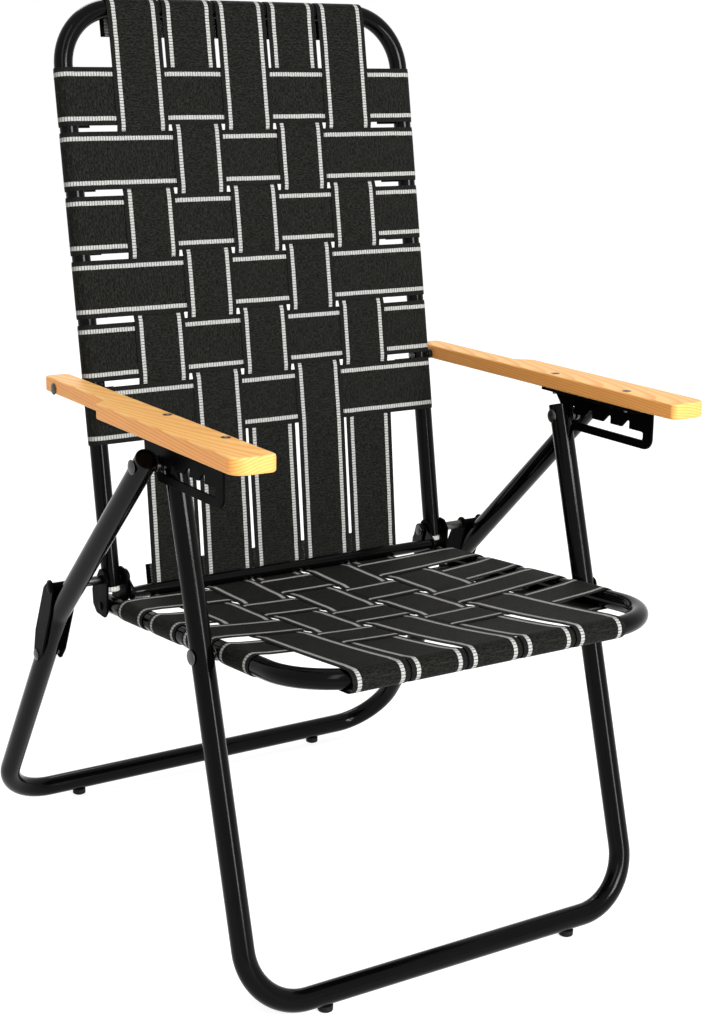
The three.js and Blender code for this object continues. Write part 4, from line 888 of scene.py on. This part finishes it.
armBottom, armTop = (arms["centreRise"] + side * arms["thickness"] / 2 for side in (-1, 1))
ladderTop = armBottom - fits["gap"]


# Shells from the arms' plane laid down in the chair
def onArms(*shells):
    return [laidIn(shell, armBolt, -arms["rise"]) for shell in shells]


# A board with rounded edges that narrows at a shoulder behind the middle
def makeArmrests():
    shoulder = arms["shoulder"] + arms["shoulderRun"]
    corners = [("inner", arms["behind"], "rear"), ("inner", -arms["ahead"], "frontInner"),
               ("outer", -arms["ahead"], "frontOuter"), ("outer", -shoulder, "rear"),
               ("narrow", -arms["shoulder"], "rear"), ("narrow", arms["behind"], "rear")]
    outline = roundCorners([(arms[reach], y) for reach, y, _ in corners],
                           [arms[radius] for _, _, radius in corners], arms["cornerSteps"])
    points, faces = cutSheet(outline, arms["thickness"], arms["edge"])
    makePair("armrest", "board", onArms((points + (0, 0, arms["centreRise"]), faces)), weigh=True)


# The ladder: an angle section whose web has a long slot with four notches in its roof
def makeLadders():
    toPin = placed((0, *(legs["pivot"] - armBolt)), tilt=arms["rise"])
    pinAhead, sheet, front = -toPin[1], ladder["sheet"], -ladder["front"]
    foot = ladderTop - ladder["depth"]
    floor = foot + ladder["slotFloor"]
    roof = floor + ladder["slotHeight"]
    outline = [(-ladder["rear"], ladderTop), (-ladder["rear"], ladderTop - ladder["heelDepth"]),
               (-ladder["footRear"], foot), (front, foot), (front, ladderTop)]
    slotRear = ladder["rearMargin"] - pinAhead
    slot = [(slotRear, floor), (-ladder["slotFront"], floor), (-ladder["slotFront"], roof)]
    for i in reversed(range(ladder["notches"])):
        start = -(pinAhead + i * ladder["notchPitch"] + legPins["radius"] + fits["gap"])
        crown = start + ladder["notchCrown"]
        slot += [(start, roof), (start, roof + ladder["notchDepth"]), (crown, roof + ladder["notchDepth"]),
                 (min(crown + ladder["notchWidth"], slotRear), roof)]
    slotRadii = ladder["slotRadii"] + ladder["notches"] * ladder["notchRadii"]
    webPlate = cutSheet(roundCorners(outline, ladder["radii"], ladder["cornerSteps"]), sheet, ladder["edge"],
                        roundCorners(slot, slotRadii, ladder["slotSteps"]))
    corners = rectangle(ladder["flangeInner"], ladder["x"] + sheet / 2, front, -ladder["rear"])
    points, faces = cutSheet(roundCorners(corners, ladder["flangeRadii"], plateSteps), sheet, ladder["edge"])
    flange = points + (0, 0, ladderTop - sheet / 2), faces
    makePair("ladder_plate", "plate", onArms(acrossX(webPlate, ladder["x"]), flange), weigh=True)


# A countersunk screw: a disc whose top is a low dome with a cross cut in it, then the cone and the shank.
# The cut's depth falls smoothly to nothing at the sides of each arm of the cross and at its reach.
def makeArmScrews():
    tail, crown = ladderTop - ladder["sheet"] - screws["tail"], armTop + screws["proud"]
    across, upward = fullTurn(screws["around"])
    radius = np.linspace(nearZero, screws["headRadius"] - screws["crownInset"], screws["crownRings"])[:, None]
    a, b = radius * across, radius * upward
    top = crown - screws["crown"] * (radius / screws["headRadius"]) ** 2 + 0 * a
    for u, v in ((a, b), (b, a)):
        side = np.clip((screws["slotWidth"] - np.abs(u)) / screws["slotSide"], 0, 1)
        reach = np.clip((screws["slotReach"] - np.abs(v)) / screws["slotEnd"], 0, 1)
        cut = crown - screws["slotLip"] - (screws["slotDepth"] - screws["slotLip"]) * side * reach
        top = np.where(side * reach > 0, np.minimum(top, cut), top)
    rings = [(reach, armTop + rise) for reach, rise in screws["cone"]]
    rings += [(screws["radius"], tail), (screws["radius"] - screws["tailEdge"], tail), (nearZero, tail)]
    grid = np.concatenate([np.stack([a, b, top], -1)] + [
        np.stack([reach * across, reach * upward, z + 0 * across], -1)[None] for reach, z in rings])
    faces = gridFaces(len(grid), len(across), closed=True)
    for i, ahead in enumerate(screws["ahead"]):
        makePair("arm_screw", "screw", onArms((grid + (screws["x"], -ahead, 0), faces)), f"_{i + 1}",
                 sharpAngle=screws["sharp"])


# A link: a channel that straddles the rear leg, two flanges joined by a web, with a sleeve for the hinge bolt
def makeLinks():
    run, sheet = hinge - linkFoot, link["sheet"]
    length = np.linalg.norm(run)
    foot = arcLine((0, 0), link["footRadius"], *link["footArc"])
    head = arcLine((0, length), link["headRadius"], *link["headArc"])
    rear = [foot[-1], (link["rear"], link["shoulder"]), (link["rear"], link["webEnd"]),
            (link["headRadius"], length)]
    front = [(-link["headRadius"], length), (-link["front"], length - link["shoulder"]),
             (-link["front"], link["shoulder"] / 2), foot[0]]
    rear, front = (roundCorners(line, [0, *radii, 0], plateSteps, closed=False)[1:-1]
                   for line, radii in ((rear, link["rearRadii"]), (front, link["frontRadii"])))
    outline = np.concatenate([foot, rear, head, front])
    reach = tube["legRadius"] + link["sideFit"] + sheet / 2
    inner, outer = legs["rearHalfWidth"] - reach, legs["rearHalfWidth"] + reach
    flange = cutSheet(outline, sheet, link["edge"], circle(bolts["radius"] + fits["gap"]))
    flanges = [acrossX(flange, x) for x in (inner, outer)]
    corners = roundCorners(rectangle(inner, outer, link["webStart"], link["webEnd"]), link["edge"], edgeSteps)
    points, faces = cutSheet(corners, sheet, link["webEdge"])
    webPlate = np.column_stack([points[:, 0], points[:, 2] + link["rear"] - sheet / 2, points[:, 1]]), faces
    sleeve = turned([(inner, link["sleeveRadius"]), (outer, link["sleeveRadius"])], (0, length))
    rim, top = (outer + sheet / 2 + rise for rise in (link["rivetRise"], linkRivets["height"]))
    rivet = turned([(outer, linkRivets["head"])] + dome(rim, top, linkRivets["head"]), (0, length), 0)
    tilt = math.degrees(math.atan2(-run[0], run[1]))
    shells = [laidIn(shell, linkFoot, tilt) for shell in (*flanges, webPlate, sleeve, rivet)]
    makePair("link", "channel", shells, weigh=True)


earedBar("seat_rear_crossbar", np.array(bars["seat"]), seatEarOuter)
earedBar("back_lower_crossbar", np.array(bars["back"]), backEarOuter)
makeHingePlates()
makeFasteners()
makeArmSpacers()
print("crossbars, hinge plates and fasteners made")
makeStuds()
makePlugs()
print("studs and plugs made")
makeArmrests()
makeLadders()
makeArmScrews()
print("arms made")
makeLinks()
print("links made")


# Floor, light and camera

stage = {"floorSize": 60.0, "floor": (0.8, 0.8, 0.8), "floorShare": 0.6, "glow": 0.72, "worldLight": 0.6,
         "aim": (0, 0, 0.45), "white": (1, 1, 1, 1)}
lamps = {"key": {"at": (-1.9, -2.0, 2.9), "size": (0.6, 2.6), "power": 30.0},
         "fill": {"at": (0.4, -3.0, 1.75), "size": (1.2, 0.8), "power": 104.0},
         "low": {"at": (0.5, -3.0, 0.75), "size": (0.5, 0.9), "power": 34.0},
         "rear": {"at": (0.6, 2.8, 2.8), "size": (1.6, 0.6), "power": 30.0}}
view = {"at": (-931.3, -1496.4, 932.9), "azimuth": -32.6, "elevation": 16.4, "roll": 2.0, "focal": 1781.2,
        "longSide": 1014, "sensor": 36.0}


# 1 for rays that come straight from the camera, off polished metal or through glass
def seenShare(g):
    rays = g.add("LightPath").outputs
    seen = g.math("MAXIMUM", rays["Is Camera Ray"], rays["Is Glossy Ray"])
    return g.math("MAXIMUM", seen, rays["Is Transmission Ray"])


# The graph of a material or world that starts without nodes
def bareGraph(owner):
    owner.use_nodes = True
    owner.node_tree.nodes.clear()
    return Graph(owner.node_tree)


# Sets a lamp or camera at a place, with its own X and Y axes along the given directions
def stoodAt(thing, at, right, up):
    rows = np.column_stack([right, up, np.cross(right, up), at])
    thing.matrix_world = Matrix([*rows.tolist(), [0, 0, 0, 1]])


# A wide floor that catches soft shadows and glows white where it is seen, under an even white world
def makeStage():
    half = stage["floorSize"] / 2
    mesh = bpy.data.meshes.new("floor")
    mesh.from_pydata([(*corner, 0) for corner in rectangle(-half, half, -half, half)], [], [(0, 1, 2, 3)])
    linked("floor", mesh)
    material = bpy.data.materials.new("floor")
    g = bareGraph(material)
    plain = g.add("BsdfDiffuse", {"Color": (*stage["floor"], 1)})
    dim = g.add("BsdfDiffuse", {"Color": (*[part * stage["floorShare"] for part in stage["floor"]], 1)})
    glow = g.add("Emission", {"Color": stage["white"], "Strength": stage["glow"]})
    seen = g.add("AddShader", {0: dim.outputs[0], 1: glow.outputs[0]})
    mix = g.add("MixShader", {0: seenShare(g), 1: plain.outputs[0], 2: seen.outputs[0]})
    g.add("OutputMaterial", {"Surface": mix.outputs[0]})
    mesh.materials.append(material)

    world = bpy.data.worlds.new("world")
    bpy.context.scene.world = world
    g = bareGraph(world)
    strength = g.math("MAXIMUM", seenShare(g), stage["worldLight"])
    background = g.add("Background", {"Color": stage["white"], "Strength": strength})
    g.add("OutputWorld", {"Surface": background.outputs[0]})


# Oblong lamps that face the chair's middle and stand level
def makeLamps():
    for label, lamp in lamps.items():
        light = bpy.data.lights.new(label, "AREA")
        light.shape = "RECTANGLE"
        light.size, light.size_y = lamp["size"]
        light.energy = lamp["power"]
        back = unit(np.array(lamp["at"]) - stage["aim"])
        right = unit(np.cross((0, 0, 1), back))
        stoodAt(linked(label, light), lamp["at"], right, np.cross(back, right))


# The camera fitted to the photo: azimuth about the upright, elevation above level and roll about its own line
def makeCamera():
    azimuth, elevation, roll = (math.radians(view[key]) for key in ("azimuth", "elevation", "roll"))
    ahead = np.array([-math.sin(azimuth), math.cos(azimuth), 0])
    right = np.array([math.cos(azimuth), math.sin(azimuth), 0])
    forward = ahead * math.cos(elevation) - (0, 0, math.sin(elevation))
    up = np.cross(right, forward)
    data = bpy.data.cameras.new("camera")
    data.sensor_width = view["sensor"]
    data.lens = view["focal"] * view["sensor"] / view["longSide"]
    camera = linked("camera", data)
    stoodAt(camera, (np.array(view["at"]) + (0, footShift, 0)) * mm,
            math.cos(roll) * right + math.sin(roll) * up, math.cos(roll) * up - math.sin(roll) * right)
    bpy.context.scene.camera = camera


makeStage()
makeLamps()
makeCamera()
bpy.context.scene.view_settings.view_transform = "Standard"
print("stage and camera made")
